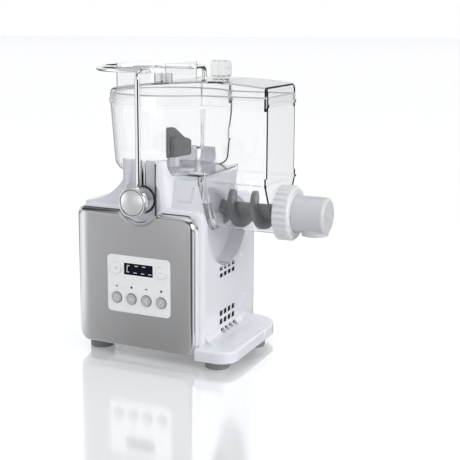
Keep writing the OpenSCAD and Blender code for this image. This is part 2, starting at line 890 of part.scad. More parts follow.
module frame_outline() {
    difference() {
        translate([mid_y - frame_half, lay_z - axle_gap - 12])
            square([2 * frame_half, cavity_top - lay_z + axle_gap + 12]);
        translate([mid_y, screw_z]) circle(shaft_r + run_gap + bush_wall);
        translate([mid_y, lay_z]) circle(shaft_r + run_gap + bush_wall);
    }
}

module gear_frame() {
    color(iron) placed() {
        difference() {
            union() {
                along_x(frame_x, frame_x + frame_t) frame_outline();
                along_x(frame2_x, frame2_x + frame_t) frame_outline();
            }
            translate([0, 0, motor_z - screw_z]) rod_x(frame_x - 1, frame_x + frame_t + 1, rotor_r + 2);
            translate([0, 0, motor_z - screw_z]) rod_x(frame2_x - 1, frame2_x + frame_t + 1, rotor_r + 2);
        }
        // ties between the two plates, clear of the gears
        for (z = [lay_z - axle_gap - 8, cavity_top - 3], y = [-1, 1]) {
            translate([frame_x + frame_t, mid_y + y * (frame_half - 3), z]) rotate([0, 90, 0])
                cylinder(h = frame2_x - frame_x - frame_t, r = 2);
        }
    }
}

module shaft_bushes() {
    color(brass) placed() for (x = [frame_x, frame2_x], z = [lay_z, screw_z]) {
        translate([x, mid_y, z]) rotate([0, 90, 0]) difference() {
            cylinder(h = frame_t, r = shaft_r + run_gap + bush_wall);
            translate([0, 0, -1]) cylinder(h = frame_t + 2, r = shaft_r + run_gap);
        }
    }
}

module lay_shaft() {
    color(iron) placed() translate([0, 0, lay_z - screw_z])
        rod_x(frame_x - 1, frame2_x + frame_t + 1, shaft_r);
}

module lay_gear() {
    // a space between two teeth stands over the motor's pinion
    color(white) placed()
        spur(stage1_x, gear_face, lay_z, large_teeth, 270 + 180 / large_teeth, shaft_r);
}

module lay_pinion() {
    color(brass) placed()
        spur(stage2_x, gear_face, lay_z, small_teeth, 90, shaft_r);
}

module output_gear() {
    color(white) placed()
        spur(stage2_x, gear_face, screw_z, large_teeth, 270 + 180 / large_teeth, shaft_r);
}

module output_shaft() {
    color(iron) placed() {
        rod_x(bevel_r - bevel_face - 1, shoulder_x + flange_t + 2, shaft_r);
        // squared end that drives the screw
        translate([shoulder_x + flange_t + 2, mid_y - drive_sq / 2, screw_z - drive_sq / 2])
            cube([screw_key_l, drive_sq, drive_sq]);
    }
}

module drive_bevel() {
    color(iron) placed() difference() {
        translate([bevel_r, mid_y, screw_z]) rotate([90, 0, -90]) bevel(90);
        rod_x(0, frame_x, shaft_r);
    }
}

module paddle_bevel() {
    color(iron) placed() difference() {
        translate([0, mid_y, screw_z + bevel_r]) rotate([180, 0, 0]) bevel(180 / bevel_teeth);
        translate([0, mid_y, screw_z]) cylinder(h = 40, r = shaft_r);
    }
}

module paddle_bush() {
    color(brass) placed() translate([0, mid_y, bowl_z - 24]) difference() {
        cylinder(h = 24, r = shaft_r + bush_wall);
        translate([0, 0, -1]) cylinder(h = 26, r = shaft_r + run_gap);
    }
}

module paddle_shaft() {
    color(iron) placed() {
        translate([0, mid_y, screw_z + bevel_r - bevel_face])
            cylinder(h = bowl_z + coupling_h - screw_z - bevel_r + bevel_face, r = shaft_r);
        translate([-drive_sq / 2, mid_y - drive_sq / 2, bowl_z + coupling_h])
            cube([drive_sq, drive_sq, paddle_key_l]);
    }
}

// ribbed coupling between the shaft and the paddle
module paddle_coupling() {
    color(white) placed() translate([0, mid_y, bowl_z + 0.3]) difference() {
        union() {
            cylinder(h = coupling_h - 0.3, r = 6.6);
            for (a = [0 : 45 : 315]) {
                rotate([0, 0, a]) translate([6.4, 0, 3.2])
                    cylinder(h = coupling_h - 3.5, r = 1.1);
            }
        }
        translate([0, 0, -1]) cylinder(h = 20, r = shaft_r);
    }
}

module paddle_seal() {
    color(rubber) placed() translate([0, mid_y, bowl_z]) difference() {
        cylinder(h = clear_wall, r = 10);
        translate([0, 0, -1]) cylinder(h = clear_wall + 2, r = 6.6 + run_gap);
    }
}

// ---------------------------------------------------------------- vessel

// plan of bowl and hopper, moved out by g, with hollow fillets between them
module vessel_plan(r, g) {
    ro = r + g;
    ho = hopper_w / 2 + g;
    rf = concave_r - g;
    xf = sqrt((ro + rf) * (ro + rf) - (ho + rf) * (ho + rf));
    circle(ro);
    soft_rect(0, hopper_x + g, -ho, ho, max(0.4, hopper_corner + g));
    for (m = [0, 1]) {
        mirror([0, m, 0]) difference() {
            polygon([[0, 0], [xf, 0], [xf, ho + rf],
                     [xf * ro / (ro + rf), (ho + rf) * ro / (ro + rf)]]);
            translate([xf, ho + rf]) circle(rf);
        }
    }
}

// upper part of the vessel, of constant plan
module vessel_band(z0, z1, g) {
    translate([0, mid_y, z0]) linear_extrude(z1 - z0) vessel_plan(bowl_r, g);
}

// the bowl tapers down and has a rounded lower edge
module bowl_solid(g) {
    r_low = bowl_low_r + g;
    r_top = bowl_r + g;
    low = bowl_z - g;
    re = bowl_edge_r + g;
    translate([0, mid_y, 0]) rotate_extrude() union() {
        polygon([[0, low], [r_low - re, low], [r_low, low + re], [r_top, seam_z], [0, seam_z]]);
        intersection() {
            translate([r_low - re, low + re]) circle(re);
            square([r_top, seam_z]);
        }
    }
}

// the hopper from its neck up, and the part of it that meets the bowl
module hopper_solid(g) {
    half = hopper_w / 2 + g;
    translate([0, mid_y, 0]) linear_extrude(seam_z)
        soft_rect(-20, hopper_x + g, -half, half, max(0.4, hopper_corner + g));
}

// side outline of the trough: round below, its walls lean out to the neck
module trough_outline(g) {
    r = trough_r + g;
    half = hopper_w / 2 + g;
    dz = hopper_neck_z - screw_z;
    reach = sqrt(half * half + dz * dz);
    a = atan2(dz, half) - acos(r / reach);
    translate([mid_y, screw_z]) {
        circle(r);
        polygon([[r * cos(a), r * sin(a)], [half, dz], [half, dz + 8], [-half, dz + 8],
                 [-half, dz], [-r * cos(a), r * sin(a)]]);
    }
}

module vessel() {
    trough_x = shoulder_x + flange_t;
    color(clear) placed() difference() {
        union() {
            bowl_solid(0);
            intersection() {
                hopper_solid(0);
                translate([0, 0, bowl_z]) cube([400, 400, seam_z - bowl_z]);
            }
            intersection() {
                translate([0, mid_y, fillet_z]) linear_extrude(seam_z - fillet_z)
                    vessel_plan(bowl_r - fillet_drop, 0);
                translate([30, 0, 0]) cube(400);
            }
            along_x(shoulder_x + 0.4, hopper_x) trough_outline(0);
            // thick flange that stands in the scoop against the shoulder
            along_x(shoulder_x + 0.4, shoulder_x + 6) intersection() {
                trough_outline(collar_t);
                translate([0, screw_z - trough_r]) square([200, bowl_z + 8 - screw_z + trough_r]);
            }
            // rib round the neck of the hopper
            along_x(trough_x, hopper_x + 1) intersection() {
                trough_outline(1);
                translate([0, hopper_neck_z - 1.2]) square([200, 2.4]);
            }
            // outlet that the ring nut turns on
            rod_x(hopper_x - 1, hopper_x + spigot_l, spigot_r);
            // collar that stands inside the lid
            vessel_band(seam_z - 1, seam_z + collar_h, -clear_wall - free_gap);
        }
        // inside of bowl and hopper, up to the ledge that carries the collar
        intersection() {
            union() {
                bowl_solid(-clear_wall);
                intersection() {
                    hopper_solid(-clear_wall);
                    union() {
                        translate([0, 0, bowl_z + clear_wall]) cube([400, 400, 200]);
                        translate([trough_x, 0, hopper_neck_z]) cube([400, 400, 200]);
                    }
                }
                // the fillets between them keep the same wall
                intersection() {
                    translate([0, mid_y, fillet_z + clear_wall]) linear_extrude(100)
                        vessel_plan(bowl_r - fillet_drop, -clear_wall);
                    translate([48, 0, 0]) cube(400);
                }
            }
            translate([-200, 0, 0]) cube([600, 400, seam_z - ledge_h]);
        }
        vessel_band(seam_z - ledge_h - 0.5, seam_z + collar_h + 1, -2 * clear_wall - free_gap);
        along_x(trough_x, hopper_x - clear_wall) trough_outline(-clear_wall);
        rod_x(hopper_x - 6, hopper_x + spigot_l + 1, trough_r - clear_wall - 0.1);
        // holes for the two seals
        rod_x(shoulder_x - 1, trough_x + 1, 10);
        translate([0, mid_y, bowl_z - 1]) cylinder(h = clear_wall + 2, r = 10);
    }
}

module screw_seal() {
    color(rubber) placed() difference() {
        rod_x(shoulder_x + 0.4, shoulder_x + flange_t, 10);
        rod_x(shoulder_x, shoulder_x + flange_t + 1, shaft_r + run_gap);
    }
}

// ---------------------------------------------------------------- screw

module screw() {
    x0 = shoulder_x + flange_t + 0.6;
    x1 = hopper_x + 2;
    sector = 62;
    turns = (x1 - x0 - 2) / screw_pitch;
    color(grey) placed() difference() {
        union() {
            rod_x(x0, x1, core_r);
            translate([x0 + 1, mid_y, screw_z]) rotate([0, 90, 0])
                linear_extrude(x1 - x0 - 2, twist = -360 * turns, slices = ceil(turns * 30))
                polygon(concat([[0, 0]],
                    [for (k = [0 : 6]) polar(screw_r, k * sector / 6)]));
            translate([x1, mid_y, screw_z]) rotate([0, 90, 0]) cylinder(h = 8, r1 = core_r, r2 = 2);
        }
        rod_x(x0 - 1, shoulder_x + flange_t + 2, shaft_r);
        translate([x0 - 1, mid_y - drive_sq / 2, screw_z - drive_sq / 2])
            cube([shoulder_x + flange_t + 2 + screw_key_l - x0 + 1, drive_sq, drive_sq]);
    }
}

// side outline of the blade: a peak over the hub, sloping down to a short tip
function blade_outline(x0, x1, z0, z1) =
    let (tip = z0 + 0.44 * (z1 - z0), r = 2)
    concat(
        [[x0, z0], [x1 - 3, z0 + 2.2]],
        [for (k = [0 : 3]) [x1 - r, z0 + 2.6 + r] + polar(r, -75 + 25 * k)],
        [for (k = [0 : 3]) [x1 - 2 * r, tip - r] + polar(2 * r, 17 * k)],
        [for (k = [0 : 3]) [x0 + 7, z1 - 2 * r] + polar(2 * r, 50 + 13 * k)],
        [for (k = [0 : 2]) [x0 + r, z1 - r] + polar(r, 100 + 40 * k)]
    );

module paddle() {
    z0 = bowl_z + coupling_h;
    blade_low = bowl_z + clear_wall + 10.6;
    heel = 8.5;
    hub = 6.6;
    color(grey) placed() translate([0, mid_y, 0]) difference() {
        rotate([0, 0, paddle_turn]) union() {
            translate([0, 0, z0]) cylinder(h = 23, r = hub);
            rotate([90, 0, 0]) translate([0, 0, -blade_t / 2]) linear_extrude(blade_t)
                polygon(blade_outline(-heel, paddle_reach, blade_low, paddle_top));
        }
        translate([-drive_sq / 2, -drive_sq / 2, z0 - 1])
            cube([drive_sq, drive_sq, paddle_key_l + 1]);
        // room for the coupling under the blade
        translate([0, 0, blade_low - 1]) cylinder(h = z0 - blade_low + 1, r = hub + 1.6);
    }
}

// ---------------------------------------------------------------- nozzle

module nozzle() {
    x0 = nozzle_flange_x;
    end_r = 4;
    color(white) placed() difference() {
        union() {
            rod_x(x0, x0 + nozzle_flange_t, spigot_r);
            translate([x0, mid_y, screw_z]) rotate([0, 90, 0]) rotate_extrude()
                edge_section(nozzle_r, nozzle_x - x0, end_r);
            translate([die_x, mid_y, die_z]) cylinder(h = nozzle_r, r = die_boss_r);
        }
        rod_x(x0 - 1, nozzle_x - 3, nozzle_bore);
        translate([die_x, mid_y, die_z + die_t]) cylinder(h = nozzle_r - die_t, r = die_r - 1.5);
        translate([die_x, mid_y, die_z - 1]) cylinder(h = die_t + 1, r = die_r);
    }
}

module nozzle_seal() {
    color(rubber) placed() difference() {
        rod_x(hopper_x + spigot_l, nozzle_flange_x, spigot_r - 0.4);
        rod_x(hopper_x, nozzle_x, trough_r - clear_wall + 0.4);
    }
}

module die_plate() {
    pitch = 2 * die_hole_r + 1.7;
    color(white) placed() translate([die_x, mid_y, die_z]) difference() {
        cylinder(h = die_t, r = die_r);
        for (i = [-3 : 3], j = [-3 : 3]) {
            x = pitch * (i + j / 2);
            y = pitch * j * sqrt(3) / 2;
            if (sqrt(x * x + y * y) < die_r - die_hole_r - 1.2) {
                translate([x, y, -1]) cylinder(h = die_t + 2, r = die_hole_r, $fn = 24);
            }
        }
    }
}

module ring_nut() {
    rib = 1.4;
    nut_edge = 2.5;
    color(white) placed() difference() {
        union() {
            translate([nut_x, mid_y, screw_z]) rotate([0, 90, 0])
                rotate_extrude() edge_section(nut_r - rib, nut_l, nut_edge);
            for (k = [0 : nut_ribs - 1]) {
                translate([nut_x + 0.4, mid_y, screw_z]) rotate([k * 360 / nut_ribs, 0, 0])
                    translate([0, nut_r - 2 * rib, 0]) rotate([0, 90, 0])
                    cylinder(h = nut_l - nut_edge - 0.8, r = 2 * rib, $fn = 32);
            }
        }
        rod_x(nut_x - 1, nozzle_flange_x + nozzle_flange_t + 0.2, spigot_r + free_gap);
        rod_x(nut_x, nut_x + nut_l + 1, nozzle_r + free_gap);
    }
}

// ---------------------------------------------------------------- lid

// space under the dome, lowered by g
module under_dome(g) {
    along_y(-20, 2 * mid_y + 20)
        intersection() {
            translate([crown_x, lid_top - dome_r]) circle(dome_r - g, $fn = 360);
            translate([-200, seam_z - 10]) square([400, 100]);
        }
}

module lid() {
    tray_r = 7;
    y0 = mid_y - tray_front;
    color(clear) placed() difference() {
        union() {
            // the upper edge rounds over in steps
            intersection() {
                vessel_band(seam_z + 0.2, lid_top + 1, 0);
                under_dome(4);
            }
            intersection() {
                vessel_band(seam_z + 5, lid_top + 1, -0.8);
                under_dome(1.4);
            }
            intersection() {
                vessel_band(seam_z + 5, lid_top + 1, -2.2);
                under_dome(0);
            }
            vessel_band(seam_z + 0.2, seam_z + rim_band, rim_proud);
            translate([0, 0, lid_top - 12]) linear_extrude(tray_top - lid_top + 12)
                soft_rect(-tray_left, tray_right, y0, y0 + tray_w, tray_r);
            translate([knob_x, mid_y, lid_top - 1]) cylinder(h = neck_h + 1, r = lid_knob_r - 2);
        }
        vessel_band(seam_z - 1, seam_z + collar_h + 1.4, -clear_wall);
        intersection() {
            vessel_band(seam_z + collar_h, lid_top, -2 * clear_wall);
            under_dome(clear_wall);
        }
        difference() {
            translate([0, 0, lid_top - 16]) linear_extrude(tray_top)
                soft_rect(-tray_left + clear_wall, tray_right - clear_wall, y0 + clear_wall,
                          y0 + tray_w - clear_wall, tray_r - clear_wall);
            under_dome(0);
            // raised grille that the liquid runs through
            translate([grille_x - 7, mid_y - 22, lid_top - 16]) cube([14, 14, 21.5]);
        }
        for (k = [-2 : 2]) {
            translate([grille_x - 0.8 + 2.6 * k, mid_y - 20, lid_top - 16]) cube([1.6, 10, 40]);
        }
        translate([knob_x, mid_y, lid_top - 5]) cylinder(h = 20, r = 2.5);
    }
}

module lid_gasket() {
    color([0.9, 0.91, 0.92]) placed()
        translate([0, mid_y, seam_z + collar_h]) linear_extrude(1.4) difference() {
            vessel_plan(bowl_r, -clear_wall - 0.05);
            vessel_plan(bowl_r, -2 * clear_wall);
        }
}

module lid_knob() {
    z0 = lid_top + neck_h;
    h = lid_knob_h - neck_h;
    color(clear) placed() translate([knob_x, mid_y, z0]) {
        rotate_extrude() edge_section(lid_knob_r - 1, h, 2);
        for (k = [0 : 15]) {
            rotate([0, 0, k * 360 / 16]) translate([lid_knob_r - 2, 0, 0.5])
                cylinder(h = h - 3, r = 2, $fn = 24);
        }
        translate([0, 0, -neck_h - 2.4]) cylinder(h = neck_h + 3, r = 2.5);
    }
}

// ---------------------------------------------------------------- bail

// quarter bend in the plane of the local X and Y axes
module bend(r) {
    rotate_extrude(angle = 90) translate([r, 0]) circle(rod_d / 2, $fn = 32);
}

module rod(l) {
    cylinder(h = l, r = rod_d / 2, $fn = 32);
}

module bail_half() {
    y_arm = mid_y - arm_y;
    y_loop = mid_y - loop_half;
    // arm, upper bend, stub, corner and long side of the loop
    translate([0, y_arm, pivot_z]) rod(loop_z - bend_r - pivot_z);
    translate([0, y_arm + bend_r, loop_z - bend_r]) rotate([0, -90, 0]) rotate([0, 0, 180])
        mirror([1, 0, 0]) bend(bend_r);
    translate([0, y_arm + bend_r, loop_z]) rotate([-90, 0, 0]) rod(y_loop - y_arm - 2 * bend_r);
    translate([-bend_r, y_loop - bend_r, loop_z]) bend(bend_r);
    translate([-loop_straight, y_loop, loop_z]) rotate([0, 90, 0]) rod(loop_straight - bend_r);
}

module bail_rod() {
    color(chrome) placed() {
        both_sides() bail_half();
        translate([-loop_straight, mid_y, loop_z]) rotate([0, 0, 90])
            rotate_extrude(angle = 180) translate([loop_half, 0]) circle(rod_d / 2, $fn = 32);
    }
}

// a round knob with a raised bright rim and a crowned face
module pivot_knob() {
    t = 6;
    y0 = mid_y - arm_y - hub_r - t;
    translate([0, y0 + t, pivot_z]) rotate([90, 0, 0]) rotate_extrude()
        difference() {
            edge_section(knob_r, t, 1.2);
            polygon([[0, t - 0.2], [knob_r - 2.6, t - 0.9], [knob_r - 2, t + 1], [0, t + 1]]);
        }
}
module front_knob() { color(steel) placed() pivot_knob(); }
module rear_knob() {
    color(steel) placed() translate([0, 2 * mid_y, 0]) mirror([0, 1, 0]) pivot_knob();
}

// hub that carries knob and arm, and its pin in the tower
module pivot_hub() {
    difference() {
        union() {
            rod_y(0, pivot_z, mid_y - arm_y - hub_r, hub_end - 0.5, hub_r);
            rod_y(0, pivot_z, hub_end - 1, pin_end, pin_r);
        }
        translate([0, mid_y - arm_y, pivot_z]) cylinder(h = 40, r = rod_d / 2, $fn = 32);
    }
}
module front_hub() { color(grey) placed() pivot_hub(); }
module rear_hub() {
    color(grey) placed() translate([0, 2 * mid_y, 0]) mirror([0, 1, 0]) pivot_hub();
}

module hub_bushes() {
    color(brass) placed() both_sides() difference() {
        rod_y(0, pivot_z, hub_end, pin_end + 1, pin_r + run_gap + bush_wall);
        rod_y(0, pivot_z, hub_end - 1, pin_end + 2, pin_r + run_gap);
    }
}

// safety switch beside the front bearing
module bail_switch() {
    color(dark) placed() {
        translate([-cavity_left + 2, mid_y - cavity_half, pivot_z - 14]) cube([12, 7, 20]);
        translate([-cavity_left + 6, mid_y - cavity_half + 7, pivot_z - 10]) cube([4, 2, 12]);
    }
}

body_shell();
base_plate();
front_panel();
notch_trim();
control_plate();
display_window();
display_module();
led_pipes();
button_minus();
button_plus();
button_start();
button_mix();
button_extrude();
button_stop();
control_board();
key_switches();
feet();
base_screws();
cord_gland();
motor_can();
motor_saddle();
rotor_shaft();
motor_pinion();
cooling_fan();
gear_frame();
shaft_bushes();
lay_shaft();
lay_gear();
lay_pinion();
output_shaft();
output_gear();
drive_bevel();
paddle_bush();
paddle_shaft();
paddle_bevel();
paddle_coupling();
paddle_seal();
vessel();
screw_seal();
screw();
paddle();
nozzle();
nozzle_seal();
die_plate();
ring_nut();
lid();
lid_gasket();
lid_knob();
bail_rod();
front_knob();
rear_knob();
front_hub();
rear_hub();
hub_bushes();
bail_switch();
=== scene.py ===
"""Looks of the electric pasta maker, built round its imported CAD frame."""
import json
import math

import bpy
import bmesh
from mathutils import Matrix, Vector


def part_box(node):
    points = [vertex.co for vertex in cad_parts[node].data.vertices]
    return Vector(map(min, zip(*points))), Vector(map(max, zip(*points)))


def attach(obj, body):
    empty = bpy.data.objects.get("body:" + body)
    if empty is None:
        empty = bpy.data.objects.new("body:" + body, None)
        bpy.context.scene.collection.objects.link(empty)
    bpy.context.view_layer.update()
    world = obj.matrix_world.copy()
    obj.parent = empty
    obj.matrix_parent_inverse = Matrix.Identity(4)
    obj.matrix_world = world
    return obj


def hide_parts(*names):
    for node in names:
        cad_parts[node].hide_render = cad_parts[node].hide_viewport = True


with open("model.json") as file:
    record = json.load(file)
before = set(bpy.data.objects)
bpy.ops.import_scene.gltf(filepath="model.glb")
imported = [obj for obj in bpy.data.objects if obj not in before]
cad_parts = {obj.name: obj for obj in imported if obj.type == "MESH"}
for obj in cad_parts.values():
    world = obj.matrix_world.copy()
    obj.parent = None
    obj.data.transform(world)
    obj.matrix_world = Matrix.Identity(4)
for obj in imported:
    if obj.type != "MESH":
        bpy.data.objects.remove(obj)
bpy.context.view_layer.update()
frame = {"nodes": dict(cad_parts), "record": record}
NODES = frame["nodes"]

# The sizes below are in millimetres in the building frame, whose X = 0 is the
# paddle's axis, Y = 0 the panel's face and Z = 0 the table.
CENTRE_X = 49.95
MID_Y = 85.0
CONTROL_Z = 86.8                    # middle of the control plate
ROW_LOW = CONTROL_Z - 16.5          # the lower keys
ROW_LED = CONTROL_Z - 3.2           # the lamps
ROW_HIGH = CONTROL_Z + 18.2         # the plus and minus buttons
COLUMNS = [-28.15, -9.05, 10.05, 29.15]
KEYS = ["start", "mix", "extrude", "stop"]
PLATE_Y = -0.7                      # face of the control plate
CAP_Y = PLATE_Y - 1.1               # faces of the buttons
SIGN_R = 6.8                        # radius of the plus and minus buttons
PIVOT_Z = 184.0                     # the bail's axis
PANEL = [-83.4, 69.7, 11.0, 170.0]  # left, right, bottom and top of the steel front
PANEL_CORNERS = [14, 14, 14, 9]     # radii: bottom left, bottom right, top right, top left
PANEL_DEPTH = 9.2
PANEL_ROLL = [18.0, 6.0, 6.0, 5.5]  # width of the rolled edge: left, right, bottom, top
ROLL_DEPTH = 9.0
SHEET = 1.2                         # the steel's thickness
NOTCH_R = 29.0
WINDOW = [38.0, 30.5]               # half the opening behind the control plate
CROWN = 1.1                         # rise of a knob's face
PRINT = 0.06                        # how proud a printed or inlaid mark stands


def at(x, y, z):
    """A point of the building frame, in the part's frame and in metres."""
    return Vector(((x - CENTRE_X) / 1000, (y - MID_Y) / 1000, z / 1000))


# ---------------------------------------------------------------- camera

IMAGE = 460                         # width of the photograph's frame in pixels
CAM_AZIMUTH = math.radians(24.563)
CAM_PITCH = math.radians(10.533)
CAM_ROLL = math.radians(0.320)
CAM_AT = at(530.71, -914.91, 383.94)
CAM_FOCAL_PX = 966.08
CAM_SHIFT = -0.07
CAM_SENSOR = 36.0


def make_camera():
    data = bpy.data.cameras.new("camera")
    data.sensor_fit = "HORIZONTAL"
    data.sensor_width = CAM_SENSOR
    data.lens = CAM_FOCAL_PX / IMAGE * CAM_SENSOR
    data.shift_y = CAM_SHIFT
    data.clip_start = 0.05
    data.clip_end = 20
    cam = bpy.data.objects.new("camera", data)
    bpy.context.scene.collection.objects.link(cam)
    forward = Vector((-math.sin(CAM_AZIMUTH) * math.cos(CAM_PITCH),
                      math.cos(CAM_AZIMUTH) * math.cos(CAM_PITCH),
                      -math.sin(CAM_PITCH)))
    right = Vector((math.cos(CAM_AZIMUTH), math.sin(CAM_AZIMUTH), 0))
    up = right.cross(forward)
    c, s = math.cos(CAM_ROLL), math.sin(CAM_ROLL)
    right, up = right * c + up * s, up * c - right * s
    turn = Matrix((right, up, -forward)).transposed().to_4x4()
    cam.matrix_world = Matrix.Translation(CAM_AT) @ turn
    bpy.context.scene.camera = cam


make_camera()
bpy.context.scene.view_settings.view_transform = "Standard"

# ---------------------------------------------------------------- node trees


def feed(tree, value, socket):
    """Gives a socket its value, which is another socket or a plain value."""
    if isinstance(value, bpy.types.NodeSocket):
        tree.links.new(value, socket)
    else:
        socket.default_value = value


def math_node(tree, operation, a, b=None):
    """A Math node whose inputs are sockets or numbers; gives its output socket."""
    node = tree.nodes.new("ShaderNodeMath")
    node.operation = operation
    feed(tree, a, node.inputs[0])
    if b is not None:
        feed(tree, b, node.inputs[1])
    return node.outputs[0]


def times(tree, a, b):
    """The product of two colours, as an output socket."""
    node = tree.nodes.new("ShaderNodeVectorMath")
    node.operation = "MULTIPLY"
    tree.links.new(a, node.inputs[0])
    tree.links.new(b, node.inputs[1])
    return node.outputs[0]


def mix_colours(tree, factor, a, b):
    """A Mix node for colours; gives its output socket."""
    node = tree.nodes.new("ShaderNodeMix")
    node.data_type = "RGBA"
    for socket, value in ((0, factor), (6, a), (7, b)):
        feed(tree, value, node.inputs[socket])
    return node.outputs[2]


def mix_shaders(tree, factor, a, b):
    """A Mix Shader node of two shader sockets; gives its output socket."""
    node = tree.nodes.new("ShaderNodeMixShader")
    for socket, value in zip(node.inputs, (factor, a, b)):
        tree.links.new(value, socket)
    return node.outputs[0]


def ramp_node(tree, source, stops):
    """A Color Ramp through (place, level) stops, whose levels are greys or colours."""
    node = tree.nodes.new("ShaderNodeValToRGB")
    band = node.color_ramp
    while len(band.elements) < len(stops):
        band.elements.new(0.5)
    for element, (place, value) in zip(band.elements, stops):
        element.position = place
        grey = value if hasattr(value, "__len__") else (value,) * 3
        element.color = (*grey, 1)
    tree.links.new(source, node.inputs["Fac"])
    return node.outputs["Color"]


class Nodes:
    """Short hand for building a material's node tree."""

    def __init__(self, name):
        self.name = name
        self.mat = bpy.data.materials.new(name)
        self.mat.use_nodes = True
        self.tree = self.mat.node_tree
        self.tree.nodes.clear()
        self.out = self.add("ShaderNodeOutputMaterial")
        self.bsdf = self.add("ShaderNodeBsdfPrincipled")
        self.surface(self.bsdf.outputs["BSDF"])

    def add(self, kind, **values):
        node = self.tree.nodes.new(kind)
        for key, value in values.items():
            node.inputs[key].default_value = value
        return node

    def set(self, **values):
        """Sets sockets of the main shader: plain values, or sockets that feed them."""
        for key, value in values.items():
            feed(self.tree, value, self.bsdf.inputs[key.replace("_", " ")])

    def surface(self, shader):
        self.tree.links.new(shader, self.out.inputs["Surface"])

    def ramp(self, source, stops):
        return ramp_node(self.tree, source, stops)

    def place(self):
        """The X, Y and Z of the shaded point, by name."""
        coord = self.add("ShaderNodeTexCoord")
        split = self.add("ShaderNodeSeparateXYZ")
        self.tree.links.new(coord.outputs["Object"], split.inputs["Vector"])
        return split.outputs

    def noise(self, scale, detail=4.0, rough=0.55, stretch=(1, 1, 1)):
        coord = self.add("ShaderNodeTexCoord")
        mapping = self.add("ShaderNodeMapping", Scale=stretch)
        self.tree.links.new(coord.outputs["Object"], mapping.inputs["Vector"])
        tex = self.add("ShaderNodeTexNoise", Scale=scale, Detail=detail, Roughness=rough)
        self.tree.links.new(mapping.outputs["Vector"], tex.inputs["Vector"])
        return tex.outputs["Fac"]

    def bump(self, source, strength, distance):
        bump = self.add("ShaderNodeBump", Strength=strength, Distance=distance)
        self.tree.links.new(source, bump.inputs["Height"])
        self.set(Normal=bump.outputs["Normal"])


# ---------------------------------------------------------------- materials


def shade(colour, k):
    return tuple(min(1.0, v * k) for v in colour)


def plain(name, colour, rough, metal=0.0, vary=0.03, scale=60.0, bump=0.0, spread=0.04,
          stretch=(1, 1, 1), coat=0.0):
    """A moulded, painted or turned surface: its colour and gloss wander a little."""
    n = Nodes(name)
    tex = n.noise(scale, stretch=stretch)
    n.set(Base_Color=n.ramp(tex, [(0.3, shade(colour, 1 - vary)), (0.7, shade(colour, 1 + vary))]),
          Roughness=n.ramp(tex, [(0.3, rough - spread), (0.7, rough + spread)]),
          Metallic=metal)
    if coat:
        n.set(Coat_Weight=coat, Coat_Roughness=0.08)
    if bump:
        n.bump(tex, bump, 0.0002)
    return n


def panel_material():
    """Satin steel with a fine upright brushing that hardly shows."""
    n = Nodes("panel_steel")
    brush = n.noise(700, 3.0, 0.5, stretch=(1.0, 1.0, 0.02))
    wide = n.noise(9, 2.0)
    tones = [(0.3, (0.61, 0.615, 0.625)), (0.7, (0.63, 0.635, 0.645))]
    n.set(Base_Color=mix_colours(n.tree, 0.5, n.ramp(brush, tones), n.ramp(wide, tones)),
          Roughness=n.ramp(brush, [(0.3, 0.19), (0.7, 0.215)]),
          Metallic=1.0)
    n.bump(brush, 0.06, 0.00002)
    return n


def clear_material():
    """Clear styrene: it refracts, and its colour is painted grey, down to near black, towards the
    grazing edges, as shade where light runs along its wall.
    """
    n = Nodes("clear_plastic")
    edge = n.add("ShaderNodeLayerWeight", Blend=0.5)
    tex = n.noise(18, 3.0)
    # painted shade: the colour darkens as the wall is seen more edge-on
    n.set(Base_Color=n.ramp(edge.outputs["Facing"],
                            [(0.0, (0.985, 0.99, 0.99)), (0.6, (0.95, 0.955, 0.96)),
                             (0.75, (0.88, 0.885, 0.89)), (0.82, (0.42, 0.43, 0.44)),
                             (0.93, (0.34, 0.35, 0.36)), (1.0, (0.08, 0.08, 0.085))]),
          Roughness=n.ramp(tex, [(0.3, 0.0), (0.8, 0.03)]),
          Transmission_Weight=1.0, IOR=1.42)
    n.bump(tex, 0.1, 0.0005)
    volume = n.add("ShaderNodeVolumeAbsorption", Color=(0.30, 0.32, 0.34, 1), Density=9.0)
    n.tree.links.new(volume.outputs["Volume"], n.out.inputs["Volume"])
    # lamps and soft light reach what is inside
    path = n.add("ShaderNodeLightPath").outputs
    soft = math_node(n.tree, "MAXIMUM", path["Is Shadow Ray"], path["Is Diffuse Ray"])
    through = n.add("ShaderNodeBsdfTransparent", Color=(0.93, 0.93, 0.935, 1))
    n.surface(mix_shaders(n.tree, soft, n.bsdf.outputs["BSDF"], through.outputs["BSDF"]))
    return n


def paint_shade_inside(n, boxes):
    """Paints shade into the finish inside boxes of the building frame: the unlit hollow is painted
    near black.
    """
    tree = n.tree
    place = n.place()
    inside = None
    for low, high in boxes:
        low, high = at(*low), at(*high)
        deepest = None
        for k, axis in enumerate("XYZ"):
            off = math_node(tree, "SUBTRACT", place[axis], (low[k] + high[k]) / 2)
            past = math_node(tree, "SUBTRACT", math_node(tree, "ABSOLUTE", off),
                             (high[k] - low[k]) / 2)
            deepest = past if deepest is None else math_node(tree, "MAXIMUM", deepest, past)
        within = math_node(tree, "LESS_THAN", deepest, 0.0)
        inside = within if inside is None else math_node(tree, "MAXIMUM", inside, within)
    colour = n.bsdf.inputs["Base Color"].links[0].from_socket
    # painted shade: near black inside the boxes
    n.set(Base_Color=mix_colours(tree, inside, colour, (0.02, 0.02, 0.022, 1)))


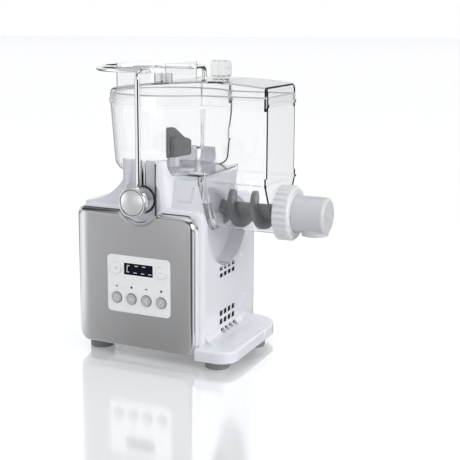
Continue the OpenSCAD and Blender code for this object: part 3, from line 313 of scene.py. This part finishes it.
FINISHES = [
    plain("white_housing", (0.76, 0.77, 0.80), 0.24, vary=0.012, scale=30, bump=0.03, coat=0.3),
    plain("control_white", (0.95, 0.95, 0.95), 0.3, vary=0.01, scale=80),
    plain("black_plastic", (0.03, 0.03, 0.033), 0.45, vary=0.1, scale=300, bump=0.1),
    plain("light_guide", (0.45, 0.48, 0.5), 0.2, vary=0.05, scale=300),
    plain("board_green", (0.03, 0.16, 0.08), 0.35, vary=0.2, scale=200),
    plain("foot_rubber", (0.23, 0.235, 0.245), 0.6, vary=0.12, scale=250, bump=0.15),
    plain("seal_rubber", (0.55, 0.56, 0.58), 0.5, vary=0.05, scale=200),
    plain("shaft_steel", (0.55, 0.56, 0.58), 0.28, metal=1.0, vary=0.06, scale=400,
          stretch=(1, 12, 12)),
    plain("motor_paint", (0.06, 0.065, 0.07), 0.4, vary=0.1, scale=200),
    plain("frame_steel", (0.5, 0.51, 0.53), 0.38, metal=1.0, vary=0.08, scale=120),
    plain("brass", (0.6, 0.42, 0.16), 0.3, metal=1.0, vary=0.06, scale=200),
    plain("gear_nylon", (0.78, 0.76, 0.68), 0.5, vary=0.03, scale=120),
    plain("paddle_grey", (0.12, 0.123, 0.127), 0.38, vary=0.06, scale=150, bump=0.06),
    plain("white_food_plastic", (0.74, 0.74, 0.75), 0.3, vary=0.012, scale=60, coat=0.2),
    # the nozzle's white with painted shade: a darker copy of white_food_plastic
    plain("nozzle_shaded_white", (0.60, 0.60, 0.615), 0.3, vary=0.012, scale=60, coat=0.2),
    plain("chrome", (0.86, 0.87, 0.88), 0.07, metal=1.0, vary=0.015, scale=90, spread=0.02),
    plain("satin_chrome", (0.90, 0.91, 0.92), 0.16, metal=1.0, vary=0.005, scale=40,
          spread=0.01),
    plain("rim_steel", (0.55, 0.56, 0.57), 0.14, metal=1.0, vary=0.02, scale=90, spread=0.02),
    plain("key_grey", (0.56, 0.565, 0.58), 0.36, metal=0.2, vary=0.03, scale=300),
    plain("key_rim", (0.30, 0.305, 0.315), 0.3, metal=0.5, vary=0.03, scale=300),
    plain("display_dark", (0.004, 0.006, 0.014), 0.35, vary=0.2, scale=40),
    plain("print_pale", (0.88, 0.88, 0.89), 0.5, vary=0.02, scale=300),
    plain("print_grey", (0.55, 0.55, 0.56), 0.5, vary=0.02, scale=300),
    plain("lamp_grey", (0.30, 0.31, 0.32), 0.25, vary=0.05, scale=300),
    plain("lamp_dark", (0.02, 0.02, 0.022), 0.25, vary=0.05, scale=300),
    plain("lamp_green", (0.24, 0.31, 0.28), 0.25, vary=0.05, scale=300),
    panel_material(),
    clear_material(),
]
MATS = {n.name: n for n in FINISHES}
MATS["display_dark"].set(Specular_IOR_Level=0.1)
# painted shade, near black: the hollow behind the vents, in three boxes, and the arm's channel in
# the tower
paint_shade_inside(MATS["white_housing"], [((-76, 14, 14), (50, 152, 150)),
                                    ((-76, 14, 14), (70, 152, 100)),
                                    ((60, 30, 20), (74.6, 140, 100)),
                                    ((-3.3, 14.3, 196), (3.3, 40, 230))])

# each CAD node has its slot's finish, but for the nozzle, whose white is darkened with painted
# shade, and the lower keys
SLOTS = {s["node"]: s["material_slot"] for s in frame["record"]["subparts"]}
NODE_FINISH = {"nozzle": "nozzle_shaded_white", **{f"button_{key}": "key_rim" for key in KEYS}}
for name, obj in NODES.items():
    obj.data.materials.clear()
    obj.data.materials.append(MATS[NODE_FINISH.get(name, SLOTS[name])].mat)

# ---------------------------------------------------------------- mesh helpers


def mesh_object(name, bm, finish, body, origin=None):
    """Makes a piece of bm, whose points are in the part's frame."""
    mesh = bpy.data.meshes.new(name)
    bmesh.ops.recalc_face_normals(bm, faces=bm.faces)
    origin = origin or Vector((0, 0, 0))
    bmesh.ops.translate(bm, vec=-origin, verts=bm.verts)
    bm.to_mesh(mesh)
    bm.free()
    obj = bpy.data.objects.new(name, mesh)
    obj.location = origin
    bpy.context.scene.collection.objects.link(obj)
    mesh.materials.append(MATS[finish].mat)
    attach(obj, body)
    return obj


def smooth(obj, angle=35):
    """Smooth shading, with an edge kept wherever faces meet at more than the angle."""
    for p in obj.data.polygons:
        p.use_smooth = True
    bpy.context.view_layer.objects.active = obj
    obj.select_set(True)
    bpy.ops.object.shade_smooth_by_angle(angle=math.radians(angle))
    obj.select_set(False)


def weld(bm):
    bmesh.ops.remove_doubles(bm, verts=bm.verts, dist=1e-6)


def revolved_front(bm, x, z, profile, count=64):
    """A turned shape whose axis is along Y: profile is a list of (radius, y)."""
    turns = [2 * math.pi * k / count for k in range(count)]
    rows = []
    for r, y in profile:
        if r < 1e-6:
            rows.append([bm.verts.new(at(x, y, z))])
        else:
            rows.append([bm.verts.new(at(x + r * math.cos(a), y, z + r * math.sin(a)))
                         for a in turns])
    for a, b in zip(rows, rows[1:]):
        for k in range(count):
            k2 = (k + 1) % count
            if len(a) == 1:
                bm.faces.new((a[0], b[k], b[k2]))
            elif len(b) == 1:
                bm.faces.new((a[k], a[k2], b[0]))
            else:
                bm.faces.new((a[k], a[k2], b[k2], b[k]))


def stroke(bm, points, width, y_front, y_back):
    """A flat line of constant width through points (x, z), with mitred corners."""
    closed = points[0] == points[-1]
    pts = [Vector(p) for p in (points[:-1] if closed else points)]
    n = len(pts)
    rows = []
    for i in range(n):
        a = pts[i - 1] if (i > 0 or closed) else None
        b = pts[(i + 1) % n] if (i < n - 1 or closed) else None
        d1 = (pts[i] - a).normalized() if a is not None else (b - pts[i]).normalized()
        d2 = (b - pts[i]).normalized() if b is not None else d1
        m = (d1 + d2)
        m = m.normalized() if m.length > 1e-6 else d1
        side = Vector((-m.y, m.x)) * (width / 2 / max(0.35, abs(m.dot(d1))))
        rows.append([bm.verts.new(at(v[0], y, v[1])) for y in (y_front, y_back)
                     for v in (pts[i] + side, pts[i] - side)])
    last = n if closed else n - 1
    for i in range(last):
        a, b = rows[i], rows[(i + 1) % n]
        bm.faces.new((a[0], a[1], b[1], b[0]))
        bm.faces.new((a[2], b[2], b[3], a[3]))
        bm.faces.new((a[0], b[0], b[2], a[2]))
        bm.faces.new((a[1], a[3], b[3], b[1]))
    if not closed:
        for r in (rows[0], rows[-1]):
            bm.faces.new((r[0], r[1], r[3], r[2]))


def arc(x, z, r, a0, a1, steps=16):
    return [(x + r * math.cos(math.radians(a0 + (a1 - a0) * k / steps)),
             z + r * math.sin(math.radians(a0 + (a1 - a0) * k / steps))) for k in range(steps + 1)]


def circle(x, z, r, steps=40):
    pts = arc(x, z, r, 0, 360, steps)
    pts[-1] = pts[0]
    return pts


def wave(x, z, half, height, steps=12):
    return [(x - half + 2 * half * k / steps, z + height * math.sin(2 * math.pi * k / steps))
            for k in range(steps + 1)]


def rounded(rect, radii, insets, steps=10):
    """Points (x, z) round a rectangle whose corners have their own radii and whose
    sides (left, right, bottom, top) are drawn in by their own insets."""
    left, right, low, high = rect
    ins = dict(zip("lrbt", insets))
    corners = [("l", "b", 180), ("r", "b", 270), ("r", "t", 0), ("l", "t", 90)]
    points = []
    for (side, level, start), r in zip(corners, radii):
        rx, rz = max(r - ins[side], 0.3), max(r - ins[level], 0.3)
        cx = left + ins["l"] + rx if side == "l" else right - ins["r"] - rx
        cz = low + ins["b"] + rz if level == "b" else high - ins["t"] - rz
        for k in range(steps + 1):
            a = math.radians(start + 90 * k / steps)
            points.append((cx + rx * math.cos(a), cz + rz * math.sin(a)))
    return points


def loft(bm, rings):
    """Faces between rings of as many points each; gives the rings' vertices."""
    rows = [[bm.verts.new(p) for p in ring] for ring in rings]
    count = len(rows[0])
    for a, b in zip(rows, rows[1:]):
        for k in range(count):
            k2 = (k + 1) % count
            bm.faces.new((a[k], a[k2], b[k2], b[k]))
    return rows


def cut(obj, bm):
    """Takes the volume of bm out of obj."""
    bmesh.ops.recalc_face_normals(bm, faces=bm.faces)
    mesh = bpy.data.meshes.new("tool")
    bm.to_mesh(mesh)
    bm.free()
    tool = bpy.data.objects.new("tool", mesh)
    bpy.context.scene.collection.objects.link(tool)
    mod = obj.modifiers.new("cut", "BOOLEAN")
    mod.operation = "DIFFERENCE"
    mod.solver = "EXACT"
    mod.object = tool
    graph = bpy.context.evaluated_depsgraph_get()
    result = bpy.data.meshes.new_from_object(obj.evaluated_get(graph))
    obj.modifiers.clear()
    obj.data = result
    bpy.data.objects.remove(tool)


def cut_box(obj, low, high):
    bm = bmesh.new()
    bmesh.ops.create_cube(bm, size=1.0)
    for v in bm.verts:
        v.co = Vector([high[i] if v.co[i] > 0 else low[i] for i in range(3)])
    cut(obj, bm)


def cut_notch(obj):
    """Cuts the round notch that the pivot stands in."""
    front, back = -5, 30
    bm = bmesh.new()
    revolved_front(bm, 0, PIVOT_Z, [(0, front), (NOTCH_R, front), (NOTCH_R, back), (0, back)], 96)
    cut(obj, bm)


# ---------------------------------------------------------------- steel front


def make_front_panel():
    """The drawn steel sheet: its edge rolls back all round to the housing."""
    steps = 12
    profile = []
    for k in range(steps + 1):
        a = math.radians(90 * k / steps)
        profile.append((1 - math.sin(a), ROLL_DEPTH * (1 - math.cos(a))))
    profile.append((0, PANEL_DEPTH))
    rings = []
    for share, y in profile:
        insets = [share * roll for roll in PANEL_ROLL]
        rings.append([at(x, y, z) for x, z in rounded(PANEL, PANEL_CORNERS, insets)])
    for share, y in reversed(profile):
        insets = [share * (roll - SHEET) + SHEET for roll in PANEL_ROLL]
        y_in = PANEL_DEPTH if y == PANEL_DEPTH else y * (ROLL_DEPTH - SHEET) / ROLL_DEPTH + SHEET
        rings.append([at(x, y_in, z) for x, z in rounded(PANEL, PANEL_CORNERS, insets)])
    bm = bmesh.new()
    rows = loft(bm, rings)
    bm.faces.new(rows[0])
    bm.faces.new(rows[-1])
    obj = mesh_object("front_panel_sheet", bm, "panel_steel", "machine")
    cut_notch(obj)
    cut_box(obj, at(-WINDOW[0], -5, CONTROL_Z - WINDOW[1]), at(WINDOW[0], 5, CONTROL_Z + WINDOW[1]))
    smooth(obj, 40)
    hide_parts("front_panel")


def make_panel_shadow_line():
    """A black bead between the steel and the housing behind it: a painted shadow line along the
    steel's rolled edge.
    """
    r, past = 0.65, 0.15
    rings = []
    for k in range(5):
        a = math.pi / 2 * k
        out = -past - r * math.cos(a)
        rings.append([at(x, PANEL_DEPTH + 0.1 + r * math.sin(a), z)
                      for x, z in rounded(PANEL, PANEL_CORNERS, [out] * 4)])
    bm = bmesh.new()
    loft(bm, rings)
    weld(bm)
    cut_notch(mesh_object("panel_shadow_line", bm, "black_plastic", "machine"))


def make_notch_rim():
    """The bright rolled rim round the pivot's notch, cut level with the panel's top."""
    mid, half, proud, back = 26.6, 2.7, 1.5, 3.0
    steps = 12
    profile = [(mid + half, back)]
    for k in range(steps + 1):
        a = math.pi * k / steps
        profile.append((mid + half * math.cos(a), 0.4 - (proud + 0.4) * math.sin(a)))
    profile += [(mid - half, back), (mid + half, back)]
    bm = bmesh.new()
    revolved_front(bm, 0, PIVOT_Z, profile, 120)
    weld(bm)
    obj = mesh_object("notch_rim", bm, "rim_steel", "machine")
    cut_box(obj, at(-60, -20, PANEL[3] - 0.5), at(60, 30, 260))
    smooth(obj, 40)
    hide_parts("notch_trim")


# ---------------------------------------------------------------- pivot

# outlines of the bead and the groove: (in from the knob's rim, proud of its end)
BEAD = [(0.1, -1.2), (-0.05, -0.5), (0.25, 0.15), (0.9, 0.5), (1.7, 0.45), (2.3, 0.1),
        (2.5, -0.5), (1.5, -1.2)]
GROOVE = [(2.35, -0.3), (2.35, 0.2), (2.95, 0.2), (2.95, -0.3)]


def make_knob_face(node, side):
    """A satin crowned disc inside a polished bead, on the end of a pivot knob that
    faces the front (side -1) or the back (side 1)."""
    low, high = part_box(node)
    end = (low if side < 0 else high)[1] * 1000 + MID_Y
    r = (high[0] - low[0]) * 500
    face, sunk, steps = r - 2.4, 0.4, 14
    disc = [(0, -sunk), (face, -sunk)]
    for k in range(steps + 1):
        share = 1 - k / steps
        disc.append((face * share, 0.05 + CROWN * (1 - share ** 2)))
    bead, groove = ([(r - inset, rise) for inset, rise in outline + outline[:1]]
                    for outline in (BEAD, GROOVE))
    for name, profile, finish in (("face", disc, "satin_chrome"), ("bead", bead, "chrome"),
                                  ("groove", groove, "black_plastic")):
        bm = bmesh.new()
        revolved_front(bm, 0, PIVOT_Z, [(q, end + side * rise) for q, rise in profile], 80)
        weld(bm)
        smooth(mesh_object(f"{node}_{name}", bm, finish, "bail"), 50)


def make_pivot_shade_marks():
    """Painted shade and a painted reflection: a black ring for the shade in the gap round the hub,
    a black line for the shade along the arm's channel, and a white strip in the arm's groove for
    the rod's reflection.
    """
    inner, outer, front, back = 13.6, 16.2, 11.3, 11.9
    bm = bmesh.new()
    ring = [(inner, back), (inner, front), (outer, front), (outer, back), (inner, back)]
    revolved_front(bm, 0, PIVOT_Z, ring)
    weld(bm)
    mesh_object("hub_gap_shade", bm, "black_plastic", "machine")
    # the black line is painted shade, the white strip a painted reflection of the rod
    for name, x, top, low, width, front, back, finish in (
            ("channel_shadow_line", 16.9, 225, 168, 0.9, 9.3, 11.8, "black_plastic"),
            ("groove_reflection_strip", 0.4, 225, 198, 1.5, 14.4, 17, "control_white")):
        bm = bmesh.new()
        stroke(bm, [(x, top), (x, low)], width, front, back)
        mesh_object(name, bm, finish, "machine")


# ---------------------------------------------------------------- control plate


def make_key_faces():
    """A dished metal face on each lower key."""
    # (radius, proud of the cap)
    dish = [(0, -0.15), (5.75, -0.15), (5.75, 0.1), (5.6, 0.18), (5.3, 0.2), (4.4, 0.12),
            (2.4, 0.05), (0, 0.02)]
    for x, key in zip(COLUMNS, KEYS):
        bm = bmesh.new()
        revolved_front(bm, x, ROW_LOW, [(r, CAP_Y - proud) for r, proud in dish])
        smooth(mesh_object(f"key_face_{key}", bm, "key_grey", f"{key}_key",
                           at(x, CAP_Y, ROW_LOW)))


def print_marks(name, lines, width, y, finish, body, origin=None):
    """Flat printed lines, given as lists of (x, z), that stand on the face at y."""
    bm = bmesh.new()
    for points in lines:
        stroke(bm, points, width, y - PRINT, y + 0.02)
    mesh_object(name, bm, finish, body, origin)


def make_key_marks():
    """Plain signs: a power ring, two strands, a die with a strand, and a drop."""
    z = ROW_LOW
    power, strands, die, drop = COLUMNS
    signs = {
        "start": [arc(power, z, 2.4, 120, 420, 20), [(power, z + 0.4), (power, z + 3.2)]],
        "mix": [wave(strands, z + 0.9, 3.0, 0.6), wave(strands, z - 0.9, 3.0, 0.6)],
        "extrude": [[(die - 2.6, z + 1.9), (die + 2.6, z + 1.9)],
                    [(die, z + 1.9), (die, z - 2.6)], arc(die, z - 0.2, 1.5, 180, 360, 12)],
        "stop": [[(drop - 1.9, z - 2.0), (drop, z + 2.6), (drop + 1.9, z - 2.0)],
                 arc(drop, z - 2.0, 1.9, 180, 360, 10)],
    }
    for x, key in zip(COLUMNS, KEYS):
        origin = at(x, CAP_Y, z)
        print_marks(f"key_mark_{key}", signs[key], 0.55, CAP_Y - 0.03, "print_pale",
                    f"{key}_key", origin)
        print_marks(f"key_ring_{key}", [circle(x, z, 4.6)], 0.3, CAP_Y - 0.1, "print_grey",
                    f"{key}_key", origin)


def make_sign_buttons():
    """The plus and minus signs, each in a ring near its button's edge."""
    z, half = ROW_HIGH, 2.2
    for x, body, bars in ((COLUMNS[0], "plus", 2), (COLUMNS[3], "minus", 1)):
        lines = [[(x - half, z), (x + half, z)], [(x, z - half), (x, z + half)]][:bars]
        origin = at(x, CAP_Y, z)
        print_marks(f"sign_{body}", lines, 0.6, CAP_Y, "print_grey", f"{body}_key", origin)
        print_marks(f"sign_ring_{body}", [circle(x, z, SIGN_R - 0.5, 48)], 0.35, CAP_Y,
                    "print_pale", f"{body}_key", origin)


def make_lamps():
    """A small lens over each light guide."""
    # (radius, proud of the plate)
    lens = [(0, -0.3), (1.35, -0.3), (1.35, 0.08), (1.2, 0.24), (0.7, 0.38), (0, 0.42)]
    for k, tone in enumerate(("lamp_grey", "lamp_dark", "lamp_green", "lamp_dark")):
        x = COLUMNS[k]
        bm = bmesh.new()
        revolved_front(bm, x, ROW_LED, [(r, PLATE_Y - proud) for r, proud in lens], 24)
        smooth(mesh_object(f"lamp_lens_{k + 1}", bm, tone, "machine", at(x, PLATE_Y, ROW_LED)),
               50)


def make_display():
    """A few lit segments on the dark window."""
    low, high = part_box("display_window")
    width, height = (high[0] - low[0]) * 1000, (high[2] - low[2]) * 1000
    left = low[0] * 1000 + CENTRE_X
    bottom = low[2] * 1000

    def spot(u, v):
        return (left + u * width, bottom + v * height)

    dash = 0.055
    lines = [[spot(0.20, 0.80), spot(0.12, 0.80), spot(0.10, 0.24), spot(0.18, 0.24)]]
    lines += [[spot(u - dash, 0.80), spot(u + dash, 0.80)] for u in (0.43, 0.69)]
    lines += [[spot(u - dash, 0.22), spot(u + dash, 0.22)] for u in (0.39, 0.65, 0.90)]
    print_marks("display_segments", lines, 0.8, low[1] * 1000 + MID_Y, "print_pale", "machine")


make_front_panel()
make_panel_shadow_line()
make_notch_rim()
make_knob_face("front_knob", -1)
make_knob_face("rear_knob", 1)
make_pivot_shade_marks()
make_key_faces()
make_key_marks()
make_sign_buttons()
make_lamps()
make_display()

# ---------------------------------------------------------------- light and floor

WORLD_LEVEL = 0.72
SKY_FRONT = 0.5      # what metal sees of the low sky in front, against that behind
# what metal sees of the sky by its height, and of front against back by Y + 0.5
SKY_HEIGHTS = [(0.0, 1.0), (0.44, 1.0), (0.50, 0.03), (0.90, 0.03), (0.94, 1.0)]
SKY_DEPTHS = [(0.1, SKY_FRONT), (0.6, 1.0)]
FLOOR_ROUGH = 0.11
FLOOR_SHINE = [(0.2, 0.04), (0.5, 0.45), (0.8, 0.62)]   # share of gloss by steepness
FLOOR_LIFT = 0.17
# Painted dark and bright levels of what metal mirrors of the floor, by turn in degrees from the
# front towards the right, for the near and the far floor, which blend between the two GLOSS_SPAN
# distances.
GLOSS_GAIN = 1.5
GLOSS_CENTRE = (0.05, 0.1)   # where turns and distances are measured from
GLOSS_SPAN = (1.15, 1.3)
# painted shade of the object on the near floor: the level drops close by
NEAR_RISE = [(0.25, 0.72), (0.45, 0.9), (0.8, 1.0)]  # distance, and the share of the level
NEAR_LEVELS = [(-180, 0.02), (-112, 0.03), (-94, 0.24), (-78, 0.70), (-60, 1.0), (-53, 0.95),
               (-45, 0.62), (-38, 0.42), (-30, 0.36), (-18, 0.37), (-2, 0.6), (6, 0.10),
               (40, 0.09), (54, 0.12), (110, 0.12), (122, 0.04)]
FAR_LEVELS = [(-180, 0.22), (-75, 0.25), (-62, 0.87), (-44, 0.87), (-34, 0.33), (-22, 0.5),
              (-12, 0.87), (4, 0.87), (12, 0.01), (66, 0.01), (74, 0.87), (100, 0.87),
              (112, 0.18), (150, 0.18)]


def ray_kinds(tree):
    """Two sockets: rays that see the backdrop, and rays mirrored by gloss."""
    path = tree.nodes.new("ShaderNodeLightPath").outputs
    glossy = path["Is Glossy Ray"]
    seen = math_node(tree, "MAXIMUM", path["Is Camera Ray"], path["Is Transmission Ray"])
    direct = math_node(tree, "MAXIMUM", seen, glossy)
    outside = math_node(tree, "LESS_THAN", path["Transmission Depth"], 0.5)
    mirrored = math_node(tree, "MULTIPLY", glossy, outside)
    return direct, mirrored


def background(tree, colour, strength=1.0):
    node = tree.nodes.new("ShaderNodeBackground")
    feed(tree, colour, node.inputs["Color"])
    node.inputs["Strength"].default_value = strength
    return node.outputs[0]


def make_world():
    """White, with a dark ring high up that only gloss shows."""
    world = bpy.data.worlds.new("studio")
    bpy.context.scene.world = world
    world.use_nodes = True
    tree = world.node_tree
    tree.nodes.clear()
    out = tree.nodes.new("ShaderNodeOutputWorld")
    direct, mirrored = ray_kinds(tree)
    coord = tree.nodes.new("ShaderNodeTexCoord")
    split = tree.nodes.new("ShaderNodeSeparateXYZ")
    tree.links.new(coord.outputs["Generated"], split.inputs[0])
    level = ramp_node(tree, split.outputs["Z"], SKY_HEIGHTS)
    front = ramp_node(tree, math_node(tree, "ADD", split.outputs["Y"], 0.5), SKY_DEPTHS)
    lit = background(tree, (0.93, 0.95, 1.0, 1), WORLD_LEVEL)
    plain_sky = mix_shaders(tree, direct, lit, background(tree, (1, 1, 1, 1)))
    ring = background(tree, times(tree, level, front))
    tree.links.new(mix_shaders(tree, mirrored, plain_sky, ring), out.inputs["Surface"])


def turn_stops(levels):
    """Ramp stops of (degrees, level) pairs, whose places run from 0 to 1."""
    return [(0.5 + degrees / 360, level) for degrees, level in levels]


def floor_in_gloss(n):
    """What metal mirrors of the floor is painted by the place on the floor: far away, dark patches
    stand in for dark flags, and close to the front, painted shade stands in for the object's
    shadow."""
    tree = n.tree
    place = n.place()
    x = math_node(tree, "SUBTRACT", place["X"], GLOSS_CENTRE[0])
    y = math_node(tree, "SUBTRACT", place["Y"], GLOSS_CENTRE[1])
    turn = math_node(tree, "ARCTAN2", x, math_node(tree, "MULTIPLY", y, -1.0))
    turn = math_node(tree, "ADD", math_node(tree, "DIVIDE", turn, 2 * math.pi), 0.5)
    span = math_node(tree, "SQRT", math_node(tree, "ADD", math_node(tree, "MULTIPLY", x, x),
                                             math_node(tree, "MULTIPLY", y, y)))
    near = times(tree, ramp_node(tree, turn, turn_stops(NEAR_LEVELS)),
                 ramp_node(tree, span, NEAR_RISE))
    far = ramp_node(tree, turn, turn_stops(FAR_LEVELS))
    outward = n.add("ShaderNodeMapRange")
    outward.inputs["From Min"].default_value, outward.inputs["From Max"].default_value = GLOSS_SPAN
    tree.links.new(span, outward.inputs["Value"])
    glow = n.add("ShaderNodeEmission", Strength=GLOSS_GAIN)
    tree.links.new(mix_colours(tree, outward.outputs["Result"], near, far), glow.inputs["Color"])
    return glow.outputs["Emission"]


def make_floor():
    """A white glossy table, which shows a soft shadow and a fading reflection."""
    bpy.ops.mesh.primitive_plane_add(size=60, location=(0, 0, 0))
    floor = bpy.context.object
    floor.name = "floor"
    n = Nodes("floor")
    tree = n.tree
    direct, mirrored = ray_kinds(tree)
    n.set(Base_Color=(0.86, 0.86, 0.86, 1), Roughness=0.6)
    shine = n.add("ShaderNodeBsdfGlossy", Color=(0.97, 0.97, 0.98, 1), Roughness=FLOOR_ROUGH)
    facing = n.add("ShaderNodeLayerWeight")
    sheet = mix_shaders(tree, n.ramp(facing.outputs["Facing"], FLOOR_SHINE),
                        n.bsdf.outputs["BSDF"], shine.outputs["BSDF"])
    glow = n.add("ShaderNodeEmission")
    tree.links.new(math_node(tree, "MULTIPLY", direct, FLOOR_LIFT), glow.inputs["Strength"])
    both = n.add("ShaderNodeAddShader")
    tree.links.new(sheet, both.inputs[0])
    tree.links.new(glow.outputs["Emission"], both.inputs[1])
    n.surface(mix_shaders(tree, mirrored, both.outputs["Shader"], floor_in_gloss(n)))
    floor.data.materials.append(n.mat)


def lamp(name, place, target, size, power):
    """A square lamp of the given side in metres and power in watts."""
    data = bpy.data.lights.new(name, "AREA")
    data.size = size
    data.energy = power
    obj = bpy.data.objects.new(name, data)
    obj.location = place
    obj.rotation_euler = (target - place).to_track_quat("-Z", "Y").to_euler()
    bpy.context.scene.collection.objects.link(obj)


make_world()
make_floor()
lamp("key_left", at(-700, -700, 900), at(0, 60, 140), 1.4, 1.9)
lamp("fill_right", at(1900, -330, 900), at(40, 60, 120), 1.2, 19)
lamp("top", at(0, 60, 1200), at(0, 60, 100), 1.4, 2.6)
